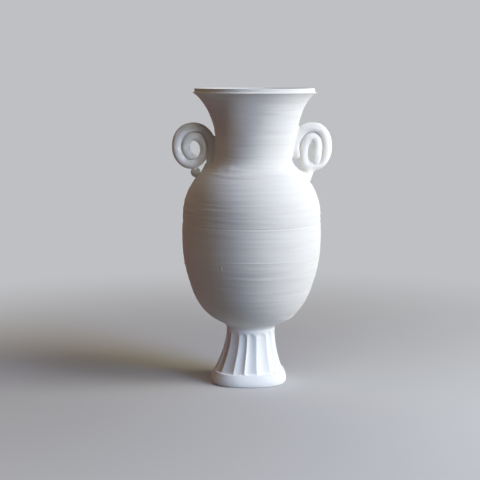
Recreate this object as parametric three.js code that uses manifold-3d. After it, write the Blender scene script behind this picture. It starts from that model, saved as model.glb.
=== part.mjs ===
// A pedestal vase of unglazed white clay, in millimetres, with +Z up.
// The origin is on the axis of the body, in the plane that the foot stands on. The front faces -Y, and
// the two spiral handles stand in the plane Y = 0.
// A potter makes such a vase from separate pieces and lutes them together before the firing: a foot slab,
// a fluted stem, a body thrown in two halves, a neck, a lip band, two coiled handles and a pellet of clay
// under each handle. Each of them is a solid of its own here, and seats on its neighbour.

import * as THREE from 'three';
import { mergeVertices } from 'three/addons/utils/BufferGeometryUtils.js';
import Module from 'manifold-3d';

const wasm = await Module();
wasm.setup();

// Heights of the pieces, stacked from the ground up
const FOOT_HEIGHT = 18.5;
const STEM_HEIGHT = 66.5;
const LOWER_BODY_HEIGHT = 162.5;
const UPPER_BODY_HEIGHT = 92.5;
const NECK_HEIGHT = 102.5;
const LIP_HEIGHT = 7.5;

// The flank is where the bowl of the lower body turns into its side, this far above the stem
const FLANK_HEIGHT = 66;

// Outer radii at the joints between the pieces, and at the flank
const STEM_FOOT_RADIUS = 52.5;
const STEM_TOP_RADIUS = 37;
const SEAM_RADIUS = 104.9;
const FLANK_RADIUS = 93.3;
const NECK_FOOT_RADIUS = 60;
const NECK_TOP_RADIUS = 91.5;

// Walls, measured square to the surface, and the widths of the flat seats between the pieces
const BODY_WALL = 7;
const NECK_WALL = 7;
const STEM_WALL = 9;
const FLOOR_THICKNESS = 9;
const NECK_FOOT_SEAT = 8;
const NECK_TOP_SEAT = 11;

// No point inside a wall lies nearer to a seat than this share of the wall
const SEAT_MARGIN = 0.33;

// The lower half of the body stands a little proud of the upper half at their seam
const SEAM_STEP = 0.5;

// Foot slab: a thick ring, squarish in plan, open in the middle. Its top edge is a ledge round the stem,
// it flares from there to its widest, and its bottom edge is rounded
const FOOT_LEDGE = 1;
const FOOT_FLARE = 4.5;
const FOOT_WIDEST_HEIGHT = 4.5;
const FOOT_ROUNDING = 2.5;
const FOOT_HOLE_STEP = 2.5;
const FOOT_SQUARENESS = 2.5;
const FOOT_DEPTH_SHARE = 0.92;

// Flutes scooped out of the stem, from the slab up to a plain collar under the body
const FLUTE_COUNT = 16;
const FLUTE_DEPTH = 3.2;
const FLUTE_TOP_DEPTH = 2.2;
const FLUTE_RUN_OUT = 9;
const COLLAR_HEIGHT = 3;
const FLUTE_TURN = THREE.MathUtils.degToRad(-7.5);

// The flutes were spaced by eye: they wander to and fro this far, this often round the stem
const FLUTE_WANDER = THREE.MathUtils.degToRad(2.2);
const FLUTE_WANDER_WAVES = 5;
const FLUTE_WANDER_START = THREE.MathUtils.degToRad(240);

// Lip band: a flat strip whose lower edge overhangs the neck, and whose face is slightly coved
const LIP_OVERHANG = 1.5;
const LIP_THICKNESS = 11;
const LIP_TOP_SET_BACK = 2.5;
const LIP_COVE_SET_BACK = 2.2;
const LIP_ROUNDING = 1;

// Handles: a spiral coil of clay each, tapered at both ends
const COIL_RADIUS = 6.5;
const TAIL_RADIUS = 1.6;
const TIP_RADIUS = 2.4;
const LUTING_GAP = 0.3;

// The spiral of each handle: the level of its centre above the neck's foot, the half width and half height
// of its first turn, how much these shrink in one turn, and how far it drifts towards the neck in one turn
const LEFT_LEVEL = 20;
const LEFT_ACROSS = 30.2;
const LEFT_UP = 34.8;
const LEFT_CLOSE_ACROSS = 12.9;
const LEFT_CLOSE_UP = 13.6;
const LEFT_DRIFT = 0.7;
const RIGHT_LEVEL = 18.2;
const RIGHT_ACROSS = 26.8;
const RIGHT_UP = 36.7;
const RIGHT_CLOSE_ACROSS = 12.9;
const RIGHT_CLOSE_UP = 14.3;
const RIGHT_DRIFT = 1.4;

// Pellets of clay pressed between the handles and the shoulder
const PELLET_RADIUS = 7.6;
const PELLET_TRACK_STEPS = 400;

// How far the pieces stand off the body's axis at their joints, because they were set on by hand
const FOOT_LEAN = -4.2;
const STEM_TOP_LEAN = -1;
const NECK_WAIST_LEAN = 6.2;
const LIP_LEAN = 4.3;
const LEAN_BLEND = 40;
const NECK_WAIST_HEIGHT = 52;

// Fineness of the round surfaces
const ROUND_SEGMENTS = 60;
const FLUTE_SEGMENTS = 6;
const SHORT_CURVE_STEPS = 4;
const CURVE_STEPS = 7;
const LONG_CURVE_STEPS = 9;
const COIL_SIDES = 10;
const COIL_STEPS_PER_TURN = 24;
const PELLET_SEGMENTS = 14;

// Levels of the joints, worked out from the heights
const STEM_LEVEL = FOOT_HEIGHT;
const LOWER_BODY_LEVEL = STEM_LEVEL + STEM_HEIGHT;
const UPPER_BODY_LEVEL = LOWER_BODY_LEVEL + LOWER_BODY_HEIGHT;
const NECK_LEVEL = UPPER_BODY_LEVEL + UPPER_BODY_HEIGHT;
const LIP_LEVEL = NECK_LEVEL + NECK_HEIGHT;
const TOP_LEVEL = LIP_LEVEL + LIP_HEIGHT;

// Radii of the foot slab and the lip band, worked out from the pieces that they seat on
const FOOT_TOP_RADIUS = STEM_FOOT_RADIUS + FOOT_LEDGE;
const FOOT_RADIUS = FOOT_TOP_RADIUS + FOOT_FLARE;
const FOOT_HOLE_RADIUS = STEM_FOOT_RADIUS - STEM_WALL - FOOT_HOLE_STEP;
const LIP_EDGE_RADIUS = NECK_TOP_RADIUS + LIP_OVERHANG;
const LIP_INNER_RADIUS = LIP_EDGE_RADIUS - LIP_THICKNESS;

// An outline runs up the outside of a piece as Bezier curves through [radius, level] knots.
// A pull is the handle of a curve at a knot, as its distance outward and upward from that knot.
function outline(steps, start, ...curves) {
  const path = new THREE.Path();
  path.moveTo(start[0], start[1]);
  let from = start;
  for (const { leave, arrive, to } of curves) {
    const first = [from[0] + leave[0], from[1] + leave[1]];
    const second = [to[0] + arrive[0], to[1] + arrive[1]];
    path.bezierCurveTo(...first, ...second, ...to);
    from = to;
  }
  return path.getPoints(steps);
}

const footOutline = outline(
  SHORT_CURVE_STEPS,
  [FOOT_RADIUS - FOOT_ROUNDING, 0],
  { leave: [1.8, 0.2], arrive: [0, -2], to: [FOOT_RADIUS, FOOT_WIDEST_HEIGHT] },
  { leave: [0, 5], arrive: [2.5, -0.5], to: [FOOT_TOP_RADIUS, FOOT_HEIGHT] },
);

const stemOutline = outline(
  LONG_CURVE_STEPS,
  [STEM_FOOT_RADIUS, STEM_LEVEL],
  { leave: [-6.3, 15], arrive: [-0.7, -24.5], to: [STEM_TOP_RADIUS, LOWER_BODY_LEVEL] },
);

const lowerBodyOutline = outline(
  CURVE_STEPS,
  [STEM_TOP_RADIUS, LOWER_BODY_LEVEL],
  { leave: [3.4, 14.2], arrive: [-17.6, -57], to: [FLANK_RADIUS, LOWER_BODY_LEVEL + FLANK_HEIGHT] },
  { leave: [9.4, 30.4], arrive: [1.6, -51.3], to: [SEAM_RADIUS + SEAM_STEP, UPPER_BODY_LEVEL] },
);

const upperBodyOutline = outline(
  LONG_CURVE_STEPS,
  [SEAM_RADIUS, UPPER_BODY_LEVEL],
  { leave: [1.4, 62], arrive: [15.7, -23.6], to: [NECK_FOOT_RADIUS, NECK_LEVEL] },
);

const neckOutline = outline(
  LONG_CURVE_STEPS,
  [NECK_FOOT_RADIUS, NECK_LEVEL],
  { leave: [-2.5, 13], arrive: [-33.5, -26.5], to: [NECK_TOP_RADIUS, LIP_LEVEL] },
);

// The radius of an outline at a level, between the two points that lie round it
function radiusAt(points, level) {
  const above = points.findIndex((point) => point.y >= level);
  if (above <= 0) return points[above === 0 ? 0 : points.length - 1].x;
  const [low, high] = [points[above - 1], points[above]];
  return THREE.MathUtils.mapLinear(level, low.y, high.y, low.x, high.x);
}

// Each point of an outline, moved square to it by a distance, outward where that is positive
function offset(points, distance) {
  return points.map((point, index) => {
    const before = points[Math.max(index - 1, 0)];
    const after = points[Math.min(index + 1, points.length - 1)];
    const along = after.clone().sub(before).normalize();
    return new THREE.Vector2(point.x + along.y * distance, point.y - along.x * distance);
  });
}

// The inside of a wall, from its top seat down to its foot seat, on every second point of its outline
function inside(points, wall, topRadius, footRadius) {
  const margin = wall * SEAT_MARGIN;
  const foot = points[0].y;
  const top = points[points.length - 1].y;
  const moved = offset(points, -wall).filter((point, index) => index % 2 === 0);
  const between = moved.filter(({ y }) => y > foot + margin && y < top - margin);
  return [new THREE.Vector2(topRadius, top), ...between.reverse(), new THREE.Vector2(footRadius, foot)];
}

// A solid turned about +Z from an outline up the outside and one down the inside
function turned(profile, segments = ROUND_SEGMENTS) {
  const loop = profile[0].x === 0 ? profile : [...profile, profile[0]];
  return new THREE.LatheGeometry(loop, segments).rotateX(Math.PI / 2);
}

// A level's share of the way between two levels, eased at both ends
function ease(level, from, to) {
  return THREE.MathUtils.smoothstep(level, from, to);
}

// The sideways shift of the pieces at a level
function leanAt(level) {
  const waist = NECK_LEVEL + NECK_WAIST_HEIGHT;
  const onFoot = THREE.MathUtils.lerp(FOOT_LEAN, STEM_TOP_LEAN, ease(level, 0, LOWER_BODY_LEVEL));
  const onBody = onFoot * (1 - ease(level, LOWER_BODY_LEVEL, LOWER_BODY_LEVEL + LEAN_BLEND));
  const onNeck = NECK_WAIST_LEAN * ease(level, NECK_LEVEL - LEAN_BLEND / 2, waist);
  return onBody + onNeck + (LIP_LEAN - NECK_WAIST_LEAN) * ease(level, waist, TOP_LEVEL);
}

// The depth of the foot and stem, front to back, as a share of their width
function depthAt(level) {
  return THREE.MathUtils.lerp(FOOT_DEPTH_SHARE, 1, ease(level, FOOT_HEIGHT, LOWER_BODY_LEVEL));
}

// Moves every vertex by a rule
function reshape(geometry, rule) {
  const positions = geometry.attributes.position;
  const vertex = new THREE.Vector3();
  for (let index = 0; index < positions.count; index += 1) {
    vertex.fromBufferAttribute(positions, index);
    rule(vertex, index);
    positions.setXYZ(index, vertex.x, vertex.y, vertex.z);
  }
  return geometry;
}

// Gives a turned piece the lean and the flattened foot that the real one has
function settle(geometry) {
  return reshape(geometry, (vertex) => {
    vertex.x += leanAt(vertex.z);
    vertex.y *= depthAt(vertex.z);
  });
}

// Joins the vertices that a geometry repeats, so that it is one closed surface
function welded(geometry) {
  geometry.deleteAttribute('normal');
  geometry.deleteAttribute('uv');
  return mergeVertices(geometry);
}

function toSolid(geometry) {
  const closed = welded(geometry);
  const vertProperties = new Float32Array(closed.attributes.position.array);
  const triVerts = new Uint32Array(closed.index.array);
  return new wasm.Manifold(new wasm.Mesh({ numProp: 3, vertProperties, triVerts }));
}

function toGeometry(solid) {
  const mesh = solid.getMesh();
  const geometry = new THREE.BufferGeometry();
  geometry.setAttribute('position', new THREE.BufferAttribute(mesh.vertProperties, 3));
  geometry.setIndex(new THREE.BufferAttribute(mesh.triVerts, 1));
  return geometry;
}

// Foot slab
function makeFootSlab() {
  const hole = [new THREE.Vector2(FOOT_HOLE_RADIUS, FOOT_HEIGHT), new THREE.Vector2(FOOT_HOLE_RADIUS, 0)];
  const geometry = turned([...footOutline, ...hole]);
  reshape(geometry, (vertex) => {
    const radius = Math.hypot(vertex.x, vertex.y);
    const across = Math.abs(vertex.x / radius) ** FOOT_SQUARENESS;
    const along = Math.abs(vertex.y / radius) ** FOOT_SQUARENESS;
    const corner = (across + along) ** (-1 / FOOT_SQUARENESS);
    const share = ease(radius, FOOT_HOLE_RADIUS, FOOT_TOP_RADIUS);
    const stretch = THREE.MathUtils.lerp(1, corner, share);
    vertex.x *= stretch;
    vertex.y *= stretch;
  });
  return settle(geometry);
}

// Fluted stem: the scoops are shallower towards the top and end in small arches under the collar
function makeFlutedStem() {
  const archTop = LOWER_BODY_LEVEL - COLLAR_HEIGHT;
  const archFoot = archTop - FLUTE_RUN_OUT;
  const rowTop = archFoot - FLUTE_RUN_OUT;
  const levels = stemOutline.map((point) => point.y).filter((level) => level < rowTop);
  const archSteps = 4;
  for (let step = 0; step <= archSteps; step += 1) {
    levels.push(THREE.MathUtils.lerp(archFoot, archTop, step / archSteps));
  }
  levels.push(LOWER_BODY_LEVEL);
  const outer = levels.map((level) => new THREE.Vector2(radiusAt(stemOutline, level), level));
  const hollow = inside(
    stemOutline,
    STEM_WALL,
    STEM_TOP_RADIUS - STEM_WALL,
    STEM_FOOT_RADIUS - STEM_WALL,
  );
  const profile = [...outer, ...hollow];
  const rows = profile.length + 1;
  const geometry = turned(profile, FLUTE_COUNT * FLUTE_SEGMENTS);
  reshape(geometry, (vertex, index) => {
    const row = index % rows;
    const column = Math.floor(index / rows) % (FLUTE_COUNT * FLUTE_SEGMENTS);
    const acrossFlute = (2 * (column % FLUTE_SEGMENTS)) / FLUTE_SEGMENTS - 1;
    const height = ease(vertex.z, STEM_LEVEL, archTop);
    const full = THREE.MathUtils.lerp(FLUTE_DEPTH, FLUTE_TOP_DEPTH, height);
    const arch = full * ease(vertex.z, archFoot, archTop);
    const isScooped = row < outer.length || row === rows - 1;
    const depth = isScooped ? Math.max(full * (1 - acrossFlute ** 2) - arch, 0) : 0;
    const radius = Math.hypot(vertex.x, vertex.y) - depth;
    const angle = (column / (FLUTE_COUNT * FLUTE_SEGMENTS)) * 2 * Math.PI + FLUTE_TURN;
    const placed = angle + FLUTE_WANDER * Math.sin(FLUTE_WANDER_WAVES * angle + FLUTE_WANDER_START);
    vertex.x = radius * Math.sin(placed);
    vertex.y = -radius * Math.cos(placed);
  });
  return settle(geometry);
}

// Lower body: a bowl with a closed floor
function makeLowerBody() {
  const floor = LOWER_BODY_LEVEL + FLOOR_THICKNESS;
  const floorRadius = radiusAt(offset(lowerBodyOutline, -BODY_WALL), floor);
  const wholeWall = inside(lowerBodyOutline, BODY_WALL, SEAM_RADIUS - BODY_WALL, floorRadius);
  const wall = wholeWall.filter(({ y }) => y > floor + BODY_WALL * SEAT_MARGIN);
  const basin = [new THREE.Vector2(floorRadius, floor), new THREE.Vector2(0, floor)];
  const profile = [new THREE.Vector2(0, LOWER_BODY_LEVEL), ...lowerBodyOutline, ...wall, ...basin];
  return settle(turned(profile));
}

// Upper body: the shoulder, open at both ends
function makeUpperBody() {
  const neckOpening = NECK_FOOT_RADIUS - NECK_FOOT_SEAT;
  const wall = inside(upperBodyOutline, BODY_WALL, neckOpening, SEAM_RADIUS - BODY_WALL);
  return settle(turned([...upperBodyOutline, ...wall]));
}

// Neck: a trumpet
function makeNeck() {
  const mouth = NECK_TOP_RADIUS - NECK_TOP_SEAT;
  const wall = inside(neckOutline, NECK_WALL, mouth, NECK_FOOT_RADIUS - NECK_FOOT_SEAT);
  return settle(turned([...neckOutline, ...wall]));
}

// Lip band
function makeLipBand() {
  const profile = [
    [LIP_EDGE_RADIUS, LIP_LEVEL],
    [LIP_EDGE_RADIUS, LIP_LEVEL + LIP_ROUNDING / 2],
    [LIP_EDGE_RADIUS - LIP_COVE_SET_BACK, LIP_LEVEL + LIP_HEIGHT / 2],
    [LIP_EDGE_RADIUS - LIP_TOP_SET_BACK, TOP_LEVEL - LIP_ROUNDING],
    [LIP_EDGE_RADIUS - LIP_TOP_SET_BACK - LIP_ROUNDING, TOP_LEVEL],
    [LIP_INNER_RADIUS + 2 * LIP_ROUNDING, TOP_LEVEL],
    [LIP_INNER_RADIUS, TOP_LEVEL - 2 * LIP_ROUNDING],
    [LIP_INNER_RADIUS, LIP_LEVEL],
  ];
  return settle(turned(profile.map(([radius, level]) => new THREE.Vector2(radius, level))));
}

// The outside of the vase round the handles, grown by the luting gap, which the handles are cut to fit
function makeSeatCutter() {
  const grown = [...offset(upperBodyOutline, LUTING_GAP), ...offset(neckOutline, LUTING_GAP)];
  const foot = new THREE.Vector2(0, grown[0].y);
  const top = new THREE.Vector2(0, grown[grown.length - 1].y);
  return toSolid(settle(turned([foot, ...grown, top])));
}

// A handle is a spiral that starts at the neck, goes over the top and winds inward in the plane Y = 0.
// Corners tell how square its first and second quarters are, where 2 is an ellipse. Girth is the coil's
// radius as a share of COIL_RADIUS, at [turn, share].
// The tail runs down the neck to a point, with places at [from the neck's face, towards the front, above
// the neck's foot], and the tip ends inside the eye, with places at [outward, upward] from the centre.
// The pellet is pressed into the shoulder and into the coil, each by its own depth.
const HANDLES = [
  {
    name: 'left_handle',
    side: -1,
    level: LEFT_LEVEL,
    across: LEFT_ACROSS,
    up: LEFT_UP,
    close: [LEFT_CLOSE_ACROSS, LEFT_CLOSE_UP],
    drift: LEFT_DRIFT,
    turns: 1.58,
    corners: [2.45, 2.2],
    girth: [[0, 0.66], [0.14, 1.02], [0.5, 1.04], [0.75, 0.86], [1, 1], [1.25, 1], [1.6, 0.95]],
    tail: [[7, 12, -6], [5, 6, 4]],
    tip: [[3.2, -11.4], [-1.4, -13.2], [-4.6, -13.4]],
    pellet: { intoShoulder: 0.6, intoCoil: 0.35 },
  },
  {
    name: 'right_handle',
    side: 1,
    level: RIGHT_LEVEL,
    across: RIGHT_ACROSS,
    up: RIGHT_UP,
    close: [RIGHT_CLOSE_ACROSS, RIGHT_CLOSE_UP],
    drift: RIGHT_DRIFT,
    turns: 1.54,
    corners: [2.9, 2.2],
    girth: [[0, 0.8], [0.14, 1.1], [0.5, 1.05], [0.75, 0.95], [1, 0.84], [1.25, 0.95], [1.6, 1.02]],
    tail: [[3.3, 3, 6], [4.4, 1, 12]],
    tip: [[5.2, -8.8], [4.2, -13.6]],
    pellet: { intoShoulder: 2.8, intoCoil: 0.53 },
  },
];

// The coil's radius at a turn, eased between the stations of its girth
function coilRadiusAt(girth, turn) {
  const next = Math.max(girth.findIndex(([at]) => at >= turn), 1);
  const [[fromTurn, from], [toTurn, to]] = [girth[next - 1], girth[next]];
  return COIL_RADIUS * THREE.MathUtils.lerp(from, to, ease(turn, fromTurn, toTurn));
}

// The point of a round with corners, of half width and half height 1, at a turn
function squared(turn, corner) {
  const round = [Math.cos(turn * 2 * Math.PI), Math.sin(turn * 2 * Math.PI)];
  return round.map((share) => Math.sign(share) * Math.abs(share) ** (2 / corner));
}

// The centre line of a handle as places with the coil's radius there, from the tail to the tip
function handleRun({ side, level, across, up, close, drift, turns, corners, girth, tail, tip }) {
  const middle = NECK_LEVEL + level;
  const neckFace = radiusAt(neckOutline, middle) + side * leanAt(middle);
  const centre = neckFace + coilRadiusAt(girth, 0) + across;
  const fromNeck = ([out, front, above]) => (
    new THREE.Vector3(side * (neckFace + out), -front, NECK_LEVEL + above)
  );
  const fromCentre = ([out, above]) => new THREE.Vector3(side * (centre + out), 0, middle + above);
  const steps = Math.round(turns * COIL_STEPS_PER_TURN);
  const run = Array.from({ length: steps + 1 }, (_, step) => {
    const turn = step / COIL_STEPS_PER_TURN;
    const corner = corners[Math.floor(turn * 4)] ?? 2;
    const [inward, upward] = squared(turn, corner);
    const out = -(across - close[0] * turn) * inward - drift * turn;
    const above = (up - close[1] * turn) * upward;
    return { at: fromCentre([out, above]), radius: coilRadiusAt(girth, turn) };
  });
  const taper = (places, from, to) => places.map((at, index) => (
    { at, radius: THREE.MathUtils.lerp(from, to, (index + 1) / places.length) }
  ));
  const tailRun = taper(tail.map(fromNeck).reverse(), run[0].radius, TAIL_RADIUS).reverse();
  const tipRun = taper(tip.map(fromCentre), run[steps].radius, TIP_RADIUS);
  return [...tailRun, ...run, ...tipRun];
}

// A round coil of clay along a run, with a blunt point at each end
function coil(run, extra = 0) {
  const vertices = [];
  const faces = [];
  const last = run.length - 1;
  const along = run.map((station, index) => {
    const before = run[Math.max(index - 1, 0)].at;
    const after = run[Math.min(index + 1, last)].at;
    return after.clone().sub(before).normalize();
  });
  run.forEach(({ at, radius }, index) => {
    const inward = new THREE.Vector3(0, -1, 0).cross(along[index]).normalize();
    const forward = along[index].clone().cross(inward);
    for (let side = 0; side < COIL_SIDES; side += 1) {
      const angle = (side / COIL_SIDES) * 2 * Math.PI;
      const spoke = inward.clone().multiplyScalar(Math.cos(angle));
      spoke.addScaledVector(forward, Math.sin(angle));
      vertices.push(...at.clone().addScaledVector(spoke, radius + extra));
    }
  });
  const tailPoint = run[0].at.clone().addScaledVector(along[0], -run[0].radius - extra);
  const tipPoint = run[last].at.clone().addScaledVector(along[last], run[last].radius + extra);
  const tailIndex = vertices.length / 3;
  vertices.push(...tailPoint, ...tipPoint);
  for (let side = 0; side < COIL_SIDES; side += 1) {
    const next = (side + 1) % COIL_SIDES;
    faces.push(tailIndex, next, side);
    for (let ring = 0; ring < last; ring += 1) {
      const [here, there] = [ring * COIL_SIDES, (ring + 1) * COIL_SIDES];
      faces.push(here + side, here + next, there + side);
      faces.push(here + next, there + next, there + side);
    }
    faces.push(tailIndex + 1, last * COIL_SIDES + side, last * COIL_SIDES + next);
  }
  const geometry = new THREE.BufferGeometry();
  geometry.setAttribute('position', new THREE.Float32BufferAttribute(vertices, 3));
  geometry.setIndex(faces);
  return geometry;
}

// Where a pellet comes to lie when it rolls up the shoulder until it is pressed into its handle
function pelletPlace({ side, pellet }, run) {
  const track = new THREE.Path(offset(upperBodyOutline, PELLET_RADIUS - pellet.intoShoulder));
  const places = track.getSpacedPoints(PELLET_TRACK_STEPS).map((point) => (
    new THREE.Vector3(side * point.x + leanAt(point.y), 0, point.y)
  ));
  const reach = PELLET_RADIUS - pellet.intoCoil;
  const isPressed = (place) => run.some(({ at, radius }) => at.distanceTo(place) < reach + radius);
  return places.find(isPressed) ?? places[places.length - 1];
}

// A pellet, flat where it is pressed against the shoulder and the handle
function makePellet(handle, run, seatCutter) {
  const ball = new THREE.SphereGeometry(PELLET_RADIUS, PELLET_SEGMENTS, PELLET_SEGMENTS / 2);
  ball.rotateX(Math.PI / 2).translate(...pelletPlace(handle, run));
  const handleCutter = toSolid(coil(run, LUTING_GAP));
  return toGeometry(toSolid(ball).subtract(handleCutter).subtract(seatCutter));
}

// A piece of the vase, all of them in the same bare, matt white clay
const CLAY_COLOR = 0xeceae6;
const CLAY_ROUGHNESS = 0.85;

function clay(name, geometry) {
  const material = new THREE.MeshStandardMaterial({
    color: CLAY_COLOR,
    roughness: CLAY_ROUGHNESS,
    metalness: 0,
  });
  const mesh = new THREE.Mesh(geometry, material);
  mesh.name = name;
  return mesh;
}

const vase = new THREE.Group();
vase.name = 'pedestal_vase';
vase.add(clay('foot_slab', makeFootSlab()));
vase.add(clay('fluted_stem', makeFlutedStem()));
vase.add(clay('lower_body', makeLowerBody()));
vase.add(clay('upper_body', makeUpperBody()));
vase.add(clay('neck', makeNeck()));
vase.add(clay('rim_band', makeLipBand()));

const seatCutter = makeSeatCutter();
for (const handle of HANDLES) {
  const run = handleRun(handle);
  const coilSolid = toSolid(coil(run)).subtract(seatCutter);
  vase.add(clay(`${handle.name}_coil`, toGeometry(coilSolid)));
  vase.add(clay(`${handle.name}_pellet`, makePellet(handle, run, seatCutter)));
}

export default vase;
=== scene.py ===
"""The looks of a tall pedestal vase of unglazed white clay, built round its fixed CAD frame.

The vase is thrown in sections and luted together: a foot slab, a fluted stem, a body in two halves, a
neck with a lip band, and on each side a handle coiled from a roll of clay, held up by a pellet. Every
section stands for its CAD node and has its outline, with the marks that hands and tools leave on it.

Shapes are worked out in millimetres and made in metres, with +Z up and the front facing -Y.
"""

import logging
import math
from collections.abc import Callable, Mapping, Sequence
from dataclasses import dataclass, field
from enum import Enum

import bpy
import numpy as np
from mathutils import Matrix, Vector


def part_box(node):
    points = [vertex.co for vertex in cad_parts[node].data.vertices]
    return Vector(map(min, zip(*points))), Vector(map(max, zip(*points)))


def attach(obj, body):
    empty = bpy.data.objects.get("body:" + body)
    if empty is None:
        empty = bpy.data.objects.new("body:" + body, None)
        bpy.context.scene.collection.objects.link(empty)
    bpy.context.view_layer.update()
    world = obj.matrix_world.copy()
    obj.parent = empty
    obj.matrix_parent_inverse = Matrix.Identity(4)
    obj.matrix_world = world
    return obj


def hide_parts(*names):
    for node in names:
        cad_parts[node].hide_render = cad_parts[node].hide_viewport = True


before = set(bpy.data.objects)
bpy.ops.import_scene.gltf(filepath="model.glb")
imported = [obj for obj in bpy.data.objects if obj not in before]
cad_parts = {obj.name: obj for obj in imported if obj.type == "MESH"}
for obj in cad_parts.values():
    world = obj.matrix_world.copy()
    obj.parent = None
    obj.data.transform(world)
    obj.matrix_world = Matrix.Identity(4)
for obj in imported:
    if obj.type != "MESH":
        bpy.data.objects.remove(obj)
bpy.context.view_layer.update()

LOG = logging.getLogger("vase")

MM = 0.001
BODY = "root"
FULL_TURN = 2 * math.pi

# The sockets of a Mix node that takes colours
MIX_FIRST = 6
MIX_SECOND = 7
MIX_RESULT = 2

# What a colour socket of a shared effect holds until a finish sets it
BARE = (0.8, 0.8, 0.8, 1.0)

# The pieces were set on by hand, so the axis wanders: how far it stands off at the joints
FOOT_LEAN = -4.2
STEM_TOP_LEAN = -1.0
NECK_WAIST_LEAN = 6.2
LIP_LEAN = 4.3
LEAN_BLEND = 40.0
NECK_WAIST_HEIGHT = 52.0

# The foot and stem are flatter front to back than they are wide
FOOT_DEPTH_SHARE = 0.92

# The radii where the body meets the stem and the neck, the thickness of a thrown wall, and how far the
# neck's clay reaches inward where it sits on the shoulder
STEM_TOP_RADIUS = 37.0
NECK_FOOT_RADIUS = 60.0
THROWN_WALL = 7.0
NECK_SEAT = 8.0

# Fineness of the meshes: columns round a thrown wall, the height of a row outside and inside, and the
# steps in which a curve is drawn before its points are spaced
WALL_COLUMNS = 320
OUTER_ROW = 0.9
INNER_ROW = 3.0
BEND_STEPS = 400


def level_of(node: str, top: bool = False) -> float:
    """Gives the level of a CAD node's foot, or of its top, in millimetres."""
    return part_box(node)[1 if top else 0].z / MM


STEM_LEVEL = level_of("fluted_stem")
LOWER_BODY_LEVEL = level_of("lower_body")
UPPER_BODY_LEVEL = level_of("upper_body")
NECK_LEVEL = level_of("neck")
LIP_LEVEL = level_of("rim_band")
TOP_LEVEL = level_of("rim_band", top=True)


class Side(Enum):
    """The side of the neck that a handle stands on, seen from the front."""

    LEFT = -1
    RIGHT = 1


def ease(value: float | np.ndarray, low: float, high: float) -> float | np.ndarray:
    """Gives a value's share of the way between two others, eased at both ends.

    Args:
        value: The value, or an array of them.
        low: Where the share is 0.
        high: Where the share is 1.

    Returns:
        The share, from 0 to 1.
    """
    share = np.clip((value - low) / (high - low), 0.0, 1.0)
    return share * share * (3.0 - 2.0 * share)


def lean_at(level: float | np.ndarray) -> float | np.ndarray:
    """Gives how far the axis stands off at a level.

    Args:
        level: The level in millimetres, or an array of them.

    Returns:
        The distance towards +X in millimetres.
    """
    waist = NECK_LEVEL + NECK_WAIST_HEIGHT
    on_foot = FOOT_LEAN + (STEM_TOP_LEAN - FOOT_LEAN) * ease(level, 0.0, LOWER_BODY_LEVEL)
    on_body = on_foot * (1 - ease(level, LOWER_BODY_LEVEL, LOWER_BODY_LEVEL + LEAN_BLEND))
    on_neck = NECK_WAIST_LEAN * ease(level, NECK_LEVEL - LEAN_BLEND / 2, waist)
    return on_body + on_neck + (LIP_LEAN - NECK_WAIST_LEAN) * ease(level, waist, TOP_LEVEL)


def settle(points: np.ndarray) -> np.ndarray:
    """Gives points made round the plain axis the lean and the flat foot that the vase has.

    Args:
        points: Places in metres, one in each row.

    Returns:
        The places where they lie on the vase, in metres.
    """
    settled = points.copy()
    level = points[:, 2] / MM
    share = FOOT_DEPTH_SHARE + (1 - FOOT_DEPTH_SHARE) * ease(level, STEM_LEVEL, LOWER_BODY_LEVEL)
    settled[:, 0] += lean_at(level) * MM
    settled[:, 1] *= share
    return settled


@dataclass(frozen=True)
class Signal:
    """A value on a wire of a node tree, so that a chain of Math nodes reads as a formula."""

    bench: "Bench"
    socket: bpy.types.NodeSocket

    def __add__(self, other: "Value") -> "Signal":
        """Adds a value."""
        return self.bench.math("ADD", self, other)

    def __sub__(self, other: "Value") -> "Signal":
        """Takes a value away."""
        return self.bench.math("SUBTRACT", self, other)

    def __rsub__(self, other: "Value") -> "Signal":
        """Takes this value away from another."""
        return self.bench.math("SUBTRACT", other, self)

    def __mul__(self, other: "Value") -> "Signal":
        """Multiplies by a value."""
        return self.bench.math("MULTIPLY", self, other)

    def __truediv__(self, other: "Value") -> "Signal":
        """Divides by a value."""
        return self.bench.math("DIVIDE", self, other)

    def __rtruediv__(self, other: "Value") -> "Signal":
        """Divides another value by this one."""
        return self.bench.math("DIVIDE", other, self)

    __radd__ = __add__


Value = Signal | float | int | Sequence[float] | str | bpy.types.ID


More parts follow.
